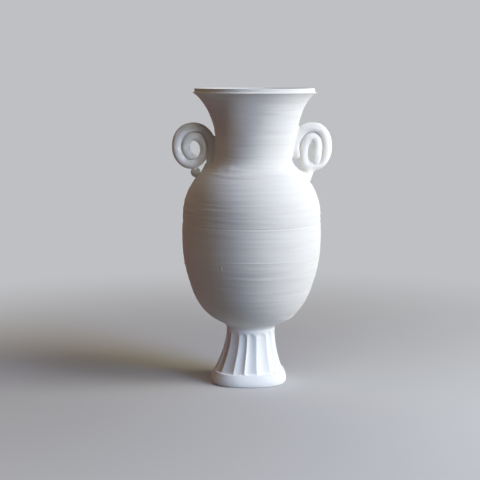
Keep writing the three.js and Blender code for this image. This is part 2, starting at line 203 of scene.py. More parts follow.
class Bench:
    """A node tree while it is being built."""

    def __init__(self, tree: bpy.types.NodeTree) -> None:
        """Takes the tree that the nodes go into.

        Args:
            tree: An empty shader or geometry tree.
        """
        self.tree = tree

    def socket(self, name: str, kind: str, start: Value | None = None, output: bool = False) -> None:
        """Adds a named socket to the outside of the tree.

        Args:
            name: The socket's name.
            kind: The last word of its type, such as Float.
            start: Its value where nothing sets it.
            output: Whether it is an output.
        """
        way = "OUTPUT" if output else "INPUT"
        made = self.tree.interface.new_socket(name=name, in_out=way, socket_type=f"NodeSocket{kind}")
        if start is not None:
            made.default_value = start

    def node(
        self, kind: str, inputs: Mapping[str | int, Value] | None = None, **settings: object
    ) -> bpy.types.Node:
        """Adds a node.

        Args:
            kind: The node's type name.
            inputs: Values or wires for its inputs, by name or number.
            settings: Its own options.

        Returns:
            The node.
        """
        made = self.tree.nodes.new(kind)
        for name, value in settings.items():
            setattr(made, name, value)
        self.feed_all(made, inputs or {})
        return made

    def feed_all(self, node: bpy.types.Node, inputs: Mapping[str | int, Value]) -> None:
        """Feeds several inputs of a node, by name or number."""
        for key, value in inputs.items():
            self.feed(node.inputs[key], value)

    def feed(self, socket: bpy.types.NodeSocket, value: Value) -> None:
        """Joins a wire to a socket, or sets the socket to a plain value.

        Args:
            socket: The input to feed.
            value: The wire or the value.
        """
        if isinstance(value, Signal):
            self.tree.links.new(value.socket, socket)
        else:
            socket.default_value = value

    def out(self, node: bpy.types.Node, key: str | int = 0) -> Signal:
        """Gives an output of a node as a signal."""
        return Signal(self, node.outputs[key])

    def math(self, operation: str, *values: Value) -> Signal:
        """Adds a Math node and gives its result."""
        return self.out(self.node("ShaderNodeMath", dict(enumerate(values)), operation=operation))

    def clamp(self, value: Signal) -> Signal:
        """Keeps a signal from 0 to 1."""
        return self.math("MINIMUM", self.math("MAXIMUM", value, 0.0), 1.0)

    def eased(self, value: Value, low: Value, high: Value, start: Value = 0.0, end: Value = 1.0) -> Signal:
        """Maps a signal from one range to another, eased at both ends.

        Args:
            value: The signal.
            low: Where the result is start.
            high: Where the result is end.
            start: The result at low.
            end: The result at high.

        Returns:
            The mapped signal.
        """
        feeds = {"Value": value, "From Min": low, "From Max": high, "To Min": start, "To Max": end}
        return self.out(self.node("ShaderNodeMapRange", feeds, interpolation_type="SMOOTHSTEP"))

    def vector(self, x: Value, y: Value, z: Value) -> Signal:
        """Makes a vector of three values."""
        return self.out(self.node("ShaderNodeCombineXYZ", {0: x, 1: y, 2: z}))

    def parts(self, vector: Signal) -> tuple[Signal, Signal, Signal]:
        """Takes a vector apart."""
        split = self.node("ShaderNodeSeparateXYZ", {0: vector})
        return self.out(split, 0), self.out(split, 1), self.out(split, 2)

    def scaled(self, vector: Signal, factor: Value) -> Signal:
        """Lengthens a vector by a factor."""
        return self.out(self.node("ShaderNodeVectorMath", {0: vector, "Scale": factor}, operation="SCALE"))

    def noise(self, place: Signal, seed: Value = 0.0, detail: float = 2.0, roughness: float = 0.5) -> Signal:
        """Gives smooth noise of about -1 to 1.

        Args:
            place: Where it is read, in units of its grain.
            seed: Which noise of many it is.
            detail: How many finer layers it has.
            roughness: How strong those are.

        Returns:
            The noise.
        """
        feeds = {"Vector": place, "W": seed, "Scale": 1.0, "Detail": detail, "Roughness": roughness}
        made = self.node("ShaderNodeTexNoise", feeds, noise_dimensions="4D")
        return (self.out(made) - 0.5) * 2.0

    def stretched(self, place: Sequence[Signal], run: Value, pitch: Value) -> Signal:
        """Gives a place in units of a grain that is as long as run and as high as pitch."""
        x, y, z = place
        return self.vector(x / run, y / run, z / pitch)

    def mixed(self, share: Signal, first: Value, second: Value) -> Signal:
        """Mixes two colours.

        Args:
            share: How much there is of the second, from 0 to 1.
            first: The first colour.
            second: The second colour.

        Returns:
            The mixed colour.
        """
        feeds = {"Factor": share, MIX_FIRST: first, MIX_SECOND: second}
        return self.out(self.node("ShaderNodeMix", feeds, data_type="RGBA"), MIX_RESULT)

    def object_place(self) -> Signal:
        """Gives the place of a shaded point on its piece."""
        return self.out(self.node("ShaderNodeTexCoord"), "Object")

    def given(self) -> bpy.types.Node:
        """Adds the node that holds the tree's own inputs."""
        return self.node("NodeGroupInput")

    def give(self, **results: Signal) -> None:
        """Joins the tree's outputs.

        Args:
            results: A signal for each output, by its name with _ for a space.
        """
        outlet = self.node("NodeGroupOutput")
        for name, value in results.items():
            self.feed(outlet.inputs[name.replace("_", " ")], value)


class ClayTree:
    """A Geometry Nodes tree that works on a piece of clay."""

    name = "Clay"
    sizes: Mapping[str, float] = {}

    def __init__(self) -> None:
        """Builds the tree once, with its named inputs."""
        self.tree = bpy.data.node_groups.new(self.name, "GeometryNodeTree")
        self.bench = Bench(self.tree)
        self.bench.socket("Geometry", "Geometry")
        for name, start in self.sizes.items():
            self.bench.socket(name, "Float", start)
        self.bench.socket("Finish", "Material")
        self.bench.socket("Geometry", "Geometry", output=True)
        self.inlet = self.bench.given()
        whole = self.step("RealizeInstances", {"Geometry": self.work(self.given("Geometry"))})
        feeds = {"Geometry": whole, "Material": self.given("Finish")}
        self.bench.give(Geometry=self.step("SetMaterial", feeds))

    def given(self, name: str) -> Signal:
        """Gives one of the tree's own inputs."""
        return self.bench.out(self.inlet, name)

    def work(self, clay: Signal) -> Signal:
        """Lays the nodes that change the clay.

        Args:
            clay: The geometry that comes in.

        Returns:
            The geometry that goes on to its finish.
        """
        raise NotImplementedError

    def attribute(self, name: str, kind: str = "FLOAT") -> Signal:
        """Reads an attribute that the mesh carries."""
        node = self.bench.node("GeometryNodeInputNamedAttribute", {"Name": name}, data_type=kind)
        return self.bench.out(node)

    def store(self, clay: Signal, name: str, value: Signal) -> Signal:
        """Writes a number for each point onto the mesh."""
        feeds = {"Geometry": clay, "Name": name, "Value": value}
        return self.step("StoreNamedAttribute", feeds, data_type="FLOAT")

    def step(self, kind: str, inputs: Mapping[str, Value] | None = None, **settings: object) -> Signal:
        """Adds a Geometry node, named without its first words, and gives its result."""
        return self.bench.out(self.bench.node(f"GeometryNode{kind}", inputs, **settings))

    def position(self) -> Signal:
        """Gives the place of each point."""
        return self.step("InputPosition")

    def moved(self, clay: Signal, offset: Signal) -> Signal:
        """Moves each point by its own offset."""
        return self.step("SetPosition", {"Geometry": clay, "Offset": offset})

    def smoothed(self, clay: Signal) -> Signal:
        """Shades the faces smooth."""
        return self.step("SetShadeSmooth", {"Geometry": clay, "Shade Smooth": True})

    def random(
        self, kind: str, least: Value, most: Value, draw: float, index: Signal | None = None
    ) -> Signal:
        """Gives each point a random value.

        Args:
            kind: The value's data type.
            least: The least value.
            most: The greatest value.
            draw: Which of the point's values this is.
            index: A number, where all points that share it get the same value.

        Returns:
            The random value.
        """
        feeds = {"Min": least, "Max": most, "Seed": self.given("Seed") + draw}
        if index is not None:
            feeds["ID"] = index
        node = self.bench.node("FunctionNodeRandomValue", data_type=kind)
        for socket in node.inputs:
            if socket.enabled and socket.name in feeds:
                self.bench.feed(socket, feeds[socket.name])
        return next(Signal(self.bench, socket) for socket in node.outputs if socket.enabled)

    def apply(self, piece: bpy.types.Object, finish: bpy.types.Material, **sizes: float) -> None:
        """Runs the tree on a piece and leaves a plain mesh.

        Args:
            piece: The piece, which is in the scene.
            finish: The material that the clay gets.
            sizes: Values for the named inputs, with _ for a space.
        """
        modifier = piece.modifiers.new(self.name, "NODES")
        modifier.node_group = self.tree
        wanted = {name.replace("_", " "): value for name, value in sizes.items()}
        wanted["Finish"] = finish
        for item in self.tree.interface.items_tree:
            if item.in_out == "INPUT" and item.name in wanted:
                modifier[item.identifier] = wanted[item.name]
        bpy.context.view_layer.update()
        worked = piece.evaluated_get(bpy.context.evaluated_depsgraph_get())
        plain = bpy.data.meshes.new_from_object(worked)
        piece.modifiers.remove(modifier)
        raw = piece.data
        piece.data = plain
        bpy.data.meshes.remove(raw)


class HandMarks(ClayTree):
    """Moves a surface in and out as fingers, ribs and sponges leave it.

    A mark is a pitch high and runs a long way round. The rings are shallow in some zones of the wall and
    deep in others. The mesh says in its attributes which way is out of the clay, and how strongly each
    point is marked.
    """

    name = "Hand marks"
    sizes = {
        "Ring Depth": 0.0001,
        "Ring Pitch": 0.004,
        "Ring Run": 0.15,
        "Swell Depth": 0.0003,
        "Swell Pitch": 0.02,
        "Swell Run": 0.1,
        "Wander": 0.002,
        "Wander Run": 0.05,
        "Seed": 1.0,
    }
    zone_run = 0.12
    zone_pitch = 0.028
    zone_range = (-0.35, 0.4)
    calm_share = 0.3
    busy_share = 1.35
    draws = {"Ring": 0.0, "Swell": 5.0, "Wander": 11.0, "Zone": 21.0}

    def layer(self, name: str, place: Sequence[Signal]) -> Signal:
        """Gives how far one kind of mark moves the clay.

        Args:
            name: The kind, which is Ring or Swell.
            place: Where it is read.

        Returns:
            The distance outward.
        """
        grain = self.bench.stretched(place, self.given(f"{name} Run"), self.given(f"{name} Pitch"))
        marks = self.bench.noise(grain, self.given("Seed") + self.draws[name])
        return marks * self.given(f"{name} Depth")

    def work(self, clay: Signal) -> Signal:
        """Lays the nodes for rings and swells.

        Args:
            clay: The geometry that comes in.

        Returns:
            The marked geometry.
        """
        bench = self.bench
        place = bench.parts(self.position())
        seed = self.given("Seed")
        run = self.given("Wander Run")
        astray = bench.noise(bench.stretched(place, run, run), seed + self.draws["Wander"], detail=1.0)
        wandered = (*place[:2], place[2] + astray * self.given("Wander"))
        zones = bench.stretched(place, self.zone_run, self.zone_pitch)
        zone = bench.noise(zones, seed + self.draws["Zone"], detail=1.0)
        busy = bench.eased(zone, *self.zone_range, self.calm_share, self.busy_share)
        total = self.layer("Ring", wandered) * busy + self.layer("Swell", wandered)
        strength = total * self.attribute("skin")
        return self.moved(clay, bench.scaled(self.attribute("outward", "FLOAT_VECTOR"), strength))


class ScoopedFlutes(ClayTree):
    """Scoops flutes out of a stem, side by side, each with a round head under the collar.

    The mesh says in its attributes how far round each point is, and whether it is on the outside.
    """

    name = "Scooped flutes"
    sizes = {
        "Count": 16.0,
        "Foot Depth": 0.0032,
        "Head Depth": 0.0022,
        "Foot Level": 0.0,
        "Head Level": 0.08,
        "Head Run": 0.007,
        "Heel Run": 0.003,
        "Heel Rise": 0.3,
        "Arris Round": 0.0002,
        "Unevenness": 0.1,
        "Head Stagger": 0.001,
        "Head Lean": 0.0016,
        "Wander": 0.04,
        "Wander Waves": 5.0,
        "Wander Start": 0.0,
        "Wobble": 0.01,
        "Seed": 1.0,
    }

    # Keeps a point on an arris on the same side of it in every run
    nudge = 0.0001
    wobble_run = 0.018
    wobble_pitch = 0.03
    arris_start = 0.8
    draws = {"skew": 3.0, "stagger": 7.0, "depth": 13.0}

    def per_flute(self, index: Signal, what: str) -> Signal:
        """Gives each flute a number of its own from -1 to 1, for one of its sizes."""
        return self.random("FLOAT", -1.0, 1.0, self.draws[what], index)

    def work(self, clay: Signal) -> Signal:
        """Lays the nodes for the scoops.

        Args:
            clay: The geometry that comes in.

        Returns:
            The fluted geometry.
        """
        bench = self.bench
        x, y, z = bench.parts(self.position())
        turn = self.attribute("turn")
        flutes_round = turn * self.given("Count") / FULL_TURN + self.nudge
        index = bench.math("FLOOR", flutes_round)
        across = bench.math("FRACT", flutes_round) * 2.0 - 1.0
        skew = self.per_flute(index, "skew") * self.given("Unevenness")
        side = across + skew * (1.0 - across * across)
        stagger = self.per_flute(index, "stagger") * self.given("Head Stagger")
        head = self.given("Head Level") + stagger - side * self.given("Head Lean")
        depth_share = self.per_flute(index, "depth") * self.given("Unevenness") + 1.0
        height = bench.eased(z, self.given("Foot Level"), head)
        deepest = self.given("Foot Depth") + (self.given("Head Depth") - self.given("Foot Depth")) * height
        into_head = bench.clamp((z - head) / self.given("Head Run") + 1.0)
        into_heel = bench.clamp(1.0 - (z - self.given("Foot Level")) / self.given("Heel Run"))
        lift = into_head * into_head + into_heel * into_heel * self.given("Heel Rise")
        scoop = bench.math("MAXIMUM", deepest * depth_share * (1.0 - side * side - lift), 0.0)
        round_off = self.given("Arris Round")
        outside = self.attribute("outside")
        depth = (bench.math("SQRT", scoop * scoop + round_off * round_off) - round_off) * outside
        wave = bench.math("SINE", turn * self.given("Wander Waves") + self.given("Wander Start"))
        strayed = bench.noise(
            bench.stretched((x, y, z), self.wobble_run, self.wobble_pitch), self.given("Seed")
        )
        placed = turn + wave * self.given("Wander") + strayed * self.given("Wobble") * outside
        radius = bench.math("SQRT", x * x + y * y) - depth
        back = bench.math("COSINE", placed) * -1.0
        place = bench.vector(radius * bench.math("SINE", placed), radius * back, z)
        moved = self.step("SetPosition", {"Geometry": clay, "Position": place})
        # The finish lightens the arrises with wear and a painted highlight, and darkens the hollows with
        # dust and painted shade
        edge = bench.eased(bench.math("ABSOLUTE", across), self.arris_start, 1.0)
        arris = self.store(moved, "arris", edge * (1.0 - into_head) * outside)
        return self.store(arris, "hollow", depth / self.given("Foot Depth"))


class RolledCoil(ClayTree):
    """Rolls a round coil of clay along a line of points that carry their girth."""

    name = "Rolled coil"
    sizes = {"Sides": 40.0, "Unevenness": 0.0003, "Uneven Run": 0.014, "Flatness": 0.05, "Seed": 1.0}
    weld = 0.00002

    def work(self, clay: Signal) -> Signal:
        """Lays the nodes for the coil.

        Args:
            clay: The line of points.

        Returns:
            The coil, closed at both ends.
        """
        bench = self.bench
        sides = bench.math("ROUND", self.given("Sides"))
        feeds = {
            "Curve": self.step("MeshToCurve", {"Mesh": clay}),
            "Profile Curve": self.step("CurvePrimitiveCircle", {"Resolution": sides, "Radius": 1.0}),
            "Scale": self.attribute("girth"),
            "Fill Caps": True,
        }
        roll = self.step("CurveToMesh", feeds)
        whole = self.step("MergeByDistance", {"Geometry": roll, "Distance": self.weld})
        run = self.given("Uneven Run")
        lump = bench.noise(bench.stretched(bench.parts(self.position()), run, run), self.given("Seed"))
        normal = self.step("InputNormal")
        _, front, _ = bench.parts(normal)
        press = front * front * self.given("Flatness") * self.attribute("girth")
        return self.smoothed(
            self.moved(whole, bench.scaled(normal, lump * self.given("Unevenness") - press))
        )


class ClayCrumbs(ClayTree):
    """Sets small crumbs of clay on points, each turned and sized its own way."""

    name = "Clay crumbs"
    sizes = {"Crumb Size": 0.0009, "Size Spread": 0.5, "Seed": 1.0}
    draws = {"spin": 1.0, "scale": 2.0}
    lump_scale = 1.3
    lump_height = 0.45
    most_spin = (0.6, 0.6, FULL_TURN)
    long_share = 1.35
    flat_share = 0.8

    def work(self, clay: Signal) -> Signal:
        """Lays the nodes for the crumbs.

        Args:
            clay: The points, each of which gets a crumb.

        Returns:
            The crumbs.
        """
        bench = self.bench
        ball = self.step("MeshIcoSphere", {"Radius": 1.0, "Subdivisions": 3})
        lump = bench.noise(bench.scaled(self.position(), self.lump_scale), self.given("Seed"))
        crumb = self.moved(ball, bench.scaled(self.step("InputNormal"), lump * self.lump_height))
        size = self.given("Crumb Size")
        least = size * (1.0 - self.given("Size Spread"))
        most = size * (1.0 + self.given("Size Spread"))
        spin = self.random("FLOAT_VECTOR", (0.0, 0.0, 0.0), self.most_spin, self.draws["spin"])
        scale = self.random("FLOAT", least, most, self.draws["scale"])
        shape = bench.vector(scale * self.long_share, scale, scale * self.flat_share)
        feeds = {"Points": clay, "Instance": self.smoothed(crumb), "Rotation": spin, "Scale": shape}
        return self.step("InstanceOnPoints", feeds)


class Effect(Bench):
    """The bench of a shader node group, with the group's own inputs at hand."""

    def __init__(
        self,
        name: str,
        colors: Sequence[str],
        numbers: Mapping[str, float],
        outputs: Mapping[str, str],
    ) -> None:
        """Starts the group.

        Args:
            name: The group's name.
            colors: The colours that it takes.
            numbers: The numbers that it takes, each with its first value.
            outputs: For each output, its type.
        """
        super().__init__(bpy.data.node_groups.new(name, "ShaderNodeTree"))
        for label in colors:
            self.socket(label, "Color", BARE)
        for label, start in numbers.items():
            self.socket(label, "Float", start)
        for label, kind in outputs.items():
            self.socket(label, kind, output=True)
        self.inlet = self.given()

    def __getitem__(self, label: str) -> Signal:
        """Gives one of the group's own inputs."""
        return self.out(self.inlet, label)


class ShaderGroups:
    """The effects that the finishes share, each built once."""

    cloud_scale = 22.0
    speck_scale = 900.0
    streak_pitch = 0.006
    tone_contrast = 5.0
    polish = 0.6
    pit_floor = 0.03
    pit_edge = 0.11
    line_roughness = 0.6
    # The patches that break up the pale arrises, which are wear with a painted highlight, and the dark
    # hollows, which are dust with painted shade
    wear_scale = 260.0
    wear_and_light_break = 0.5
    wear_and_light_share = 0.8

    def __init__(self) -> None:
        """Builds the groups."""
        self.tone = self.build_tone()
        self.grain = self.build_grain()
        self.lines = self.build_lines()
        self.wear_and_painted_light = self.build_wear_and_painted_light()

    def build_tone(self) -> bpy.types.NodeTree:
        """Builds the colour of bare clay: broad pale clouds, thin slip streaks and fine specks.

        Returns:
            The group, which puts out a colour and a roughness.
        """
        numbers = {"Clouds": 0.05, "Streaks": 0.03, "Specks": 0.03, "Streak Run": 0.12, "Roughness": 0.85}
        outputs = {"Color": "Color", "Roughness": "Float"}
        tone = Effect("Clay tone", ("Clay", "Slip"), numbers, outputs)
        place = tone.object_place()
        drawn = tone.stretched(tone.parts(place), tone["Streak Run"], self.streak_pitch)
        clouds = tone.noise(tone.scaled(place, self.cloud_scale), seed=3.0, detail=3.0)
        streaks = tone.noise(drawn, seed=5.0, detail=4.0)
        specks = tone.noise(tone.scaled(place, self.speck_scale), seed=7.0, detail=1.0)
        amount = clouds * tone["Clouds"] + streaks * tone["Streaks"] + specks * tone["Specks"]
        share = tone.clamp(amount * self.tone_contrast + 0.5)
        tone.give(
            Color=tone.mixed(share, tone["Clay"], tone["Slip"]),
            Roughness=tone.clamp(tone["Roughness"] - amount * self.polish),
        )
        return tone.tree

    def build_grain(self) -> bpy.types.NodeTree:
        """Builds the tooth of fired clay: fine grain with pinholes and a few larger pits.

        Returns:
            The group, which puts out a height in metres.
        """
        numbers = {"Grain": 0.00004, "Grain Size": 0.0007, "Pits": 0.00012, "Pit Spacing": 0.006}
        tooth = Effect("Clay grain", (), numbers, {"Height": "Float"})
        place = tooth.object_place()
        grain = tooth.noise(tooth.scaled(place, 1.0 / tooth["Grain Size"]), seed=2.0, detail=3.0)
        spaced = tooth.scaled(place, 1.0 / tooth["Pit Spacing"])
        cells = tooth.node("ShaderNodeTexVoronoi", {"Vector": spaced, "Scale": 1.0})
        pit = 1.0 - tooth.eased(tooth.out(cells, "Distance"), self.pit_floor, self.pit_edge)
        tooth.give(Height=grain * tooth["Grain"] - pit * tooth["Pits"])
        return tooth.tree

    def build_lines(self) -> bpy.types.NodeTree:
        """Builds the fine lines that a finger, a sponge or a loop tool draws.

        Returns:
            The group, which puts out a height in metres.
        """
        numbers = {"Line Depth": 0.00005, "Line Pitch": 0.0009, "Line Run": 0.09, "Upright": 0.0}
        lines = Effect("Drawn lines", (), numbers, {"Height": "Float"})
        place = lines.parts(lines.object_place())
        pitch, run, share = (lines[label] for label in ("Line Pitch", "Line Run", "Upright"))
        level, upright = (
            lines.noise(lines.stretched(place, *grain), seed, detail=3.0, roughness=self.line_roughness)
            for grain, seed in (((run, pitch), 4.0), ((pitch, run), 6.0))
        )
        lines.give(Height=(level * (1.0 - share) + upright * share) * lines["Line Depth"])
        return lines.tree

    def build_wear_and_painted_light(self) -> bpy.types.NodeTree:
        """Builds the pale rub on arrises, partly wear and partly a painted highlight, and the dust in
        hollows, partly dust and partly painted shade.

        Returns:
            The group, which puts out the clay's colour with both.
        """
        numbers = {"Rub": 0.3, "Settled": 0.15}
        wear_and_painted_light = Effect("Edge wear and painted light", ("Color", "Slip", "Dust"), numbers, {"Color": "Color"})
        color = wear_and_painted_light["Color"]
        spots = wear_and_painted_light.noise(wear_and_painted_light.scaled(wear_and_painted_light.object_place(), self.wear_scale), seed=8.0, detail=3.0)
        broken = spots * self.wear_and_light_break + self.wear_and_light_share
        # Hollows get dust and painted shade, and arrises get pale wear and a painted highlight
        for mask, tint, amount in (("hollow", "Dust", "Settled"), ("arris", "Slip", "Rub")):
            found = wear_and_painted_light.out(wear_and_painted_light.node("ShaderNodeAttribute", attribute_name=mask), "Fac")
            color = wear_and_painted_light.mixed(wear_and_painted_light.clamp(found * broken * wear_and_painted_light[amount]), color, wear_and_painted_light[tint])
        wear_and_painted_light.give(Color=color)
        return wear_and_painted_light.tree


def linear(written: str) -> tuple[float, float, float, float]:
    """Turns a colour as it is written into the one that a shader takes.

    Args:
        written: The colour as # and six hexadecimal digits.

    Returns:
        Its red, green and blue as light, and a full alpha.
    """
    shares = [int(written[start : start + 2], 16) / 255 for start in (1, 3, 5)]
    light = [s / 12.92 if s <= 0.04045 else ((s + 0.055) / 1.055) ** 2.4 for s in shares]
    return (*light, 1.0)


@dataclass(frozen=True)
class ClayFinish:
    """How one kind of worked clay looks after the firing.

    Clouds, streaks and specks sway its tone. Rub is how far the arrises are pale, partly from wear and
    partly as a painted highlight, and settled is how far the hollows are darkened, partly dust and partly
    painted shade. Its lengths are in metres.
    """

    name: str
    slot: str
    clay: str = "#e3dfd8"
    slip: str = "#f2f0ec"
    # The tint of the hollows: dust, and painted shade
    dust: str = "#cfc6ba"
    clouds: float = 0.05
    streaks: float = 0.03
    specks: float = 0.03
    streak_run: float = 0.12
    roughness: float = 0.86
    grain: float = 0.00003
    grain_size: float = 0.0008
    pits: float = 0.00010
    pit_spacing: float = 0.007
    line_depth: float = 0.00004
    line_pitch: float = 0.0010
    line_run: float = 0.09
    upright: float = 0.0
    # How pale the arrises are, partly wear and partly a painted highlight, and how dark the hollows are,
    # partly dust and partly painted shade
    rub: float = 0.4
    settled: float = 0.25
    gloss: float = 0.12
    dryness: float = 0.4

    def material(self, groups: ShaderGroups) -> bpy.types.Material:
        """Builds the finish.

        Args:
            groups: The effects that it draws on.

        Returns:
            The material.
        """
        made = bpy.data.materials.new(self.name)
        made.use_nodes = True
        bench = Bench(made.node_tree)
        tone = self.placed(bench, groups.tone)
        wear_and_painted_light = self.placed(bench, groups.wear_and_painted_light, Color=bench.out(tone, "Color"))
        grain = bench.out(self.placed(bench, groups.grain), "Height")
        lines = bench.out(self.placed(bench, groups.lines), "Height")
        bump = bench.node("ShaderNodeBump", {"Strength": 1.0, "Distance": 1.0, "Height": grain + lines})
        bench.feed_all(made.node_tree.nodes["Principled BSDF"], {
            "Base Color": bench.out(wear_and_painted_light, "Color"),
            "Roughness": bench.out(tone, "Roughness"),
            "Normal": bench.out(bump),
            "Specular IOR Level": self.gloss,
            "Diffuse Roughness": self.dryness,
        })
        return made

    def placed(self, bench: Bench, group: bpy.types.NodeTree, **wires: Signal) -> bpy.types.Node:
        """Places a shared effect in the material.

        Args:
            bench: The material's bench.
            group: The effect.
            wires: Signals for some of its inputs. The finish's field of the same name sets each other one.

        Returns:
            The effect's node.
        """
        node = bench.node("ShaderNodeGroup", wires, node_tree=group)
        for socket in node.inputs:
            if socket.name not in wires:
                own = getattr(self, socket.name.lower().replace(" ", "_"))
                bench.feed(socket, linear(own) if isinstance(own, str) else own)
        return node


THROWN = ClayFinish("thrown clay", "thrown_clay", streaks=0.08, line_depth=0.00006)
CARVED = ClayFinish(
    "carved clay",
    "carved_clay",
    clay="#ebe9e5",
    slip="#f4f3f0",
    streaks=0.01,
    grain=0.00004,
    line_depth=0.00006,
    line_pitch=0.0012,
    line_run=0.03,
    upright=1.0,
)
COILED = ClayFinish(
    "coiled clay",
    "coiled_clay",
    clay="#e6e3dd",
    streaks=0.01,
    clouds=0.07,
    line_depth=0.00003,
    line_run=0.02,
)


class Workshop:
    """What every piece is made with: the geometry trees, the finishes, and the way that a piece is kept."""

    def __init__(self) -> None:
        """Builds the trees and the finishes once."""
        self.marks = HandMarks()
        self.flutes = ScoopedFlutes()
        self.coil = RolledCoil()
        self.crumbs = ClayCrumbs()
        groups = ShaderGroups()
        self.finishes = {made: made.material(groups) for made in (THROWN, CARVED, COILED)}

    def keep(self, piece: bpy.types.Object, finish: ClayFinish, *nodes: str) -> None:
        """Sets a finished piece on the vase's body and reports it.

        Args:
            piece: The piece, whose place is in its mesh.
            finish: Its finish.
            nodes: The CAD nodes that it stands for.
        """
        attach(piece, BODY)
        if nodes:
            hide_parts(*nodes)
        count = sum(len(face.vertices) - 2 for face in piece.data.polygons)
        LOG.info("%s: %d triangles, %s", piece.name, count, finish.name)

    def keep_turned(
        self, piece: bpy.types.Object, finish: ClayFinish, node: str, marks: Mapping[str, float]
    ) -> None:
        """Marks a turned piece, gives it the lean of the vase and keeps it.

        Args:
            piece: The piece, turned about the plain axis.
            finish: Its finish.
            node: The CAD node that it stands for.
            marks: The sizes of the marks of the hands on it.
        """
        self.marks.apply(piece, self.finishes[finish], **marks)
        settle_piece(piece)
        smooth(piece)
        self.keep(piece, finish, node)


def new_piece(
    name: str,
    points: np.ndarray,
    faces: Sequence[Sequence[int]],
    edges: Sequence[Sequence[int]] = (),
) -> bpy.types.Object:
    """Makes an object of points given in millimetres.

    Args:
        name: The object's name.
        points: The places of its points, one in each row.
        faces: The points of each face.
        edges: The ends of each edge that no face has.

    Returns:
        The object, linked to the scene.
    """
    mesh = bpy.data.meshes.new(name)
    mesh.from_pydata((points * MM).tolist(), edges, faces)
    mesh.update()
    piece = bpy.data.objects.new(name, mesh)
    bpy.context.scene.collection.objects.link(piece)
    return piece


def carry(piece: bpy.types.Object, name: str, values: np.ndarray) -> None:
    """Writes an attribute onto a mesh's points.

    Args:
        piece: The piece.
        name: The attribute's name.
        values: A number or a vector for each point.
    """
    is_vector = values.ndim == 2
    made = piece.data.attributes.new(name, "FLOAT_VECTOR" if is_vector else "FLOAT", "POINT")
    made.data.foreach_set("vector" if is_vector else "value", values.astype(np.float32).ravel())


def placed_points(piece: bpy.types.Object) -> np.ndarray:
    """Reads the places of a mesh's points.

    Args:
        piece: The piece.

    Returns:
        The places in metres, one in each row.
    """
    places = np.empty(len(piece.data.vertices) * 3, np.float32)
    piece.data.vertices.foreach_get("co", places)
    return places.reshape(-1, 3).astype(float)


def smooth(piece: bpy.types.Object, sharp: float = 50.0) -> None:
    """Shades a piece smooth, but for edges sharper than an angle in degrees."""
    piece.data.shade_smooth()
    piece.data.set_sharp_from_angle(angle=math.radians(sharp))


def move_points(piece: bpy.types.Object, places: np.ndarray) -> None:
    """Moves a mesh's points to places in metres."""
    piece.data.vertices.foreach_set("co", places.astype(np.float32).ravel())


def settle_piece(piece: bpy.types.Object) -> None:
    """Gives a turned piece the lean and the flat foot of the vase."""
    move_points(piece, settle(placed_points(piece)))
    piece.data.update()


def ring_faces(rings: int, columns: int, is_capped: bool) -> list[list[int]]:
    """Joins rings of points, each of which has its points in the order of the columns.

    Args:
        rings: How many rings there are.
        columns: How many points are in a ring.
        is_capped: Whether two more points, after all rings, close the first ring and the last. Otherwise
            the last ring is joined to the first.

    Returns:
        The points of each face.
    """
    pairs = rings - 1 if is_capped else rings
    ring = np.arange(pairs)[:, None]
    column = np.arange(columns)[None, :]
    here, there = ring * columns, (ring + 1) % rings * columns
    beside = (column + 1) % columns
    quads = np.stack([here + column, here + beside, there + beside, there + column], axis=-1)
    faces = quads.reshape(-1, 4).tolist()
    if is_capped:
        first, last = rings * columns, rings * columns + 1
        last_ring = (rings - 1) * columns
        for at in range(columns):
            after = (at + 1) % columns
            faces.append([first, after, at])
            faces.append([last, last_ring + at, last_ring + after])
    return faces


def even_turns(columns: int) -> np.ndarray:
    """Spaces columns evenly round a full turn, in radians."""
    return np.arange(columns) / columns * FULL_TURN


@dataclass(frozen=True)
class Bend:
    """One Bezier curve of an outline, whose pulls are distances outward and upward from its ends."""

    leave: tuple[float, float]
    arrive: tuple[float, float]
    to: tuple[float, float]


def outline(start: tuple[float, float], *bends: Bend, spacing: float = OUTER_ROW) -> np.ndarray:
    """Draws an outline as evenly spaced points.

    Args:
        start: The radius and level that it starts at.
        bends: Its curves, one after the other.
        spacing: The distance between two points.

    Returns:
        Radius and level of each point.
    """
    drawn = [np.array([start], float)]
    share = np.linspace(0.0, 1.0, BEND_STEPS)[1:, None]
    here = np.array(start, float)
    for bend in bends:
        there = np.array(bend.to, float)
        pull_out, pull_in = here + bend.leave, there + bend.arrive
        rest = 1 - share
        drawn.append(
            rest**3 * here
            + 3 * rest**2 * share * pull_out
            + 3 * rest * share**2 * pull_in
            + share**3 * there
        )
        here = there
    return respaced(np.vstack(drawn), spacing)


def length_along(line: np.ndarray) -> np.ndarray:
    """Gives how far along a line each of its points is."""
    return np.concatenate([[0.0], np.cumsum(np.linalg.norm(np.diff(line, axis=0), axis=1))])


def respaced(line: np.ndarray, spacing: float) -> np.ndarray:
    """Spaces the points of a line evenly.

    Args:
        line: The line's points, one in each row.
        spacing: The distance that is wanted between two points.

    Returns:
        The new points, with the same ends.
    """
    along = length_along(line)
    count = max(int(round(along[-1] / spacing)), 2)
    wanted = np.linspace(0.0, along[-1], count + 1)
    return np.column_stack([np.interp(wanted, along, column) for column in line.T])


def softened(line: np.ndarray, level: float, reach: float, passes: int) -> np.ndarray:
    """Rounds the corner of a line at a level.

    Args:
        line: Radius and level of each point.
        level: Where the corner is.
        reach: How far up and down the line is changed.
        passes: How often its points are moved towards their neighbours.

    Returns:
        The line with its corner rounded.
    """
    soft = line.copy()
    for _ in range(passes):
        pull = 0.5 * np.exp(-(((soft[1:-1, 1] - level) / reach) ** 2))[:, None]
        soft[1:-1] += pull * ((soft[:-2] + soft[2:]) / 2 - soft[1:-1])
    return soft


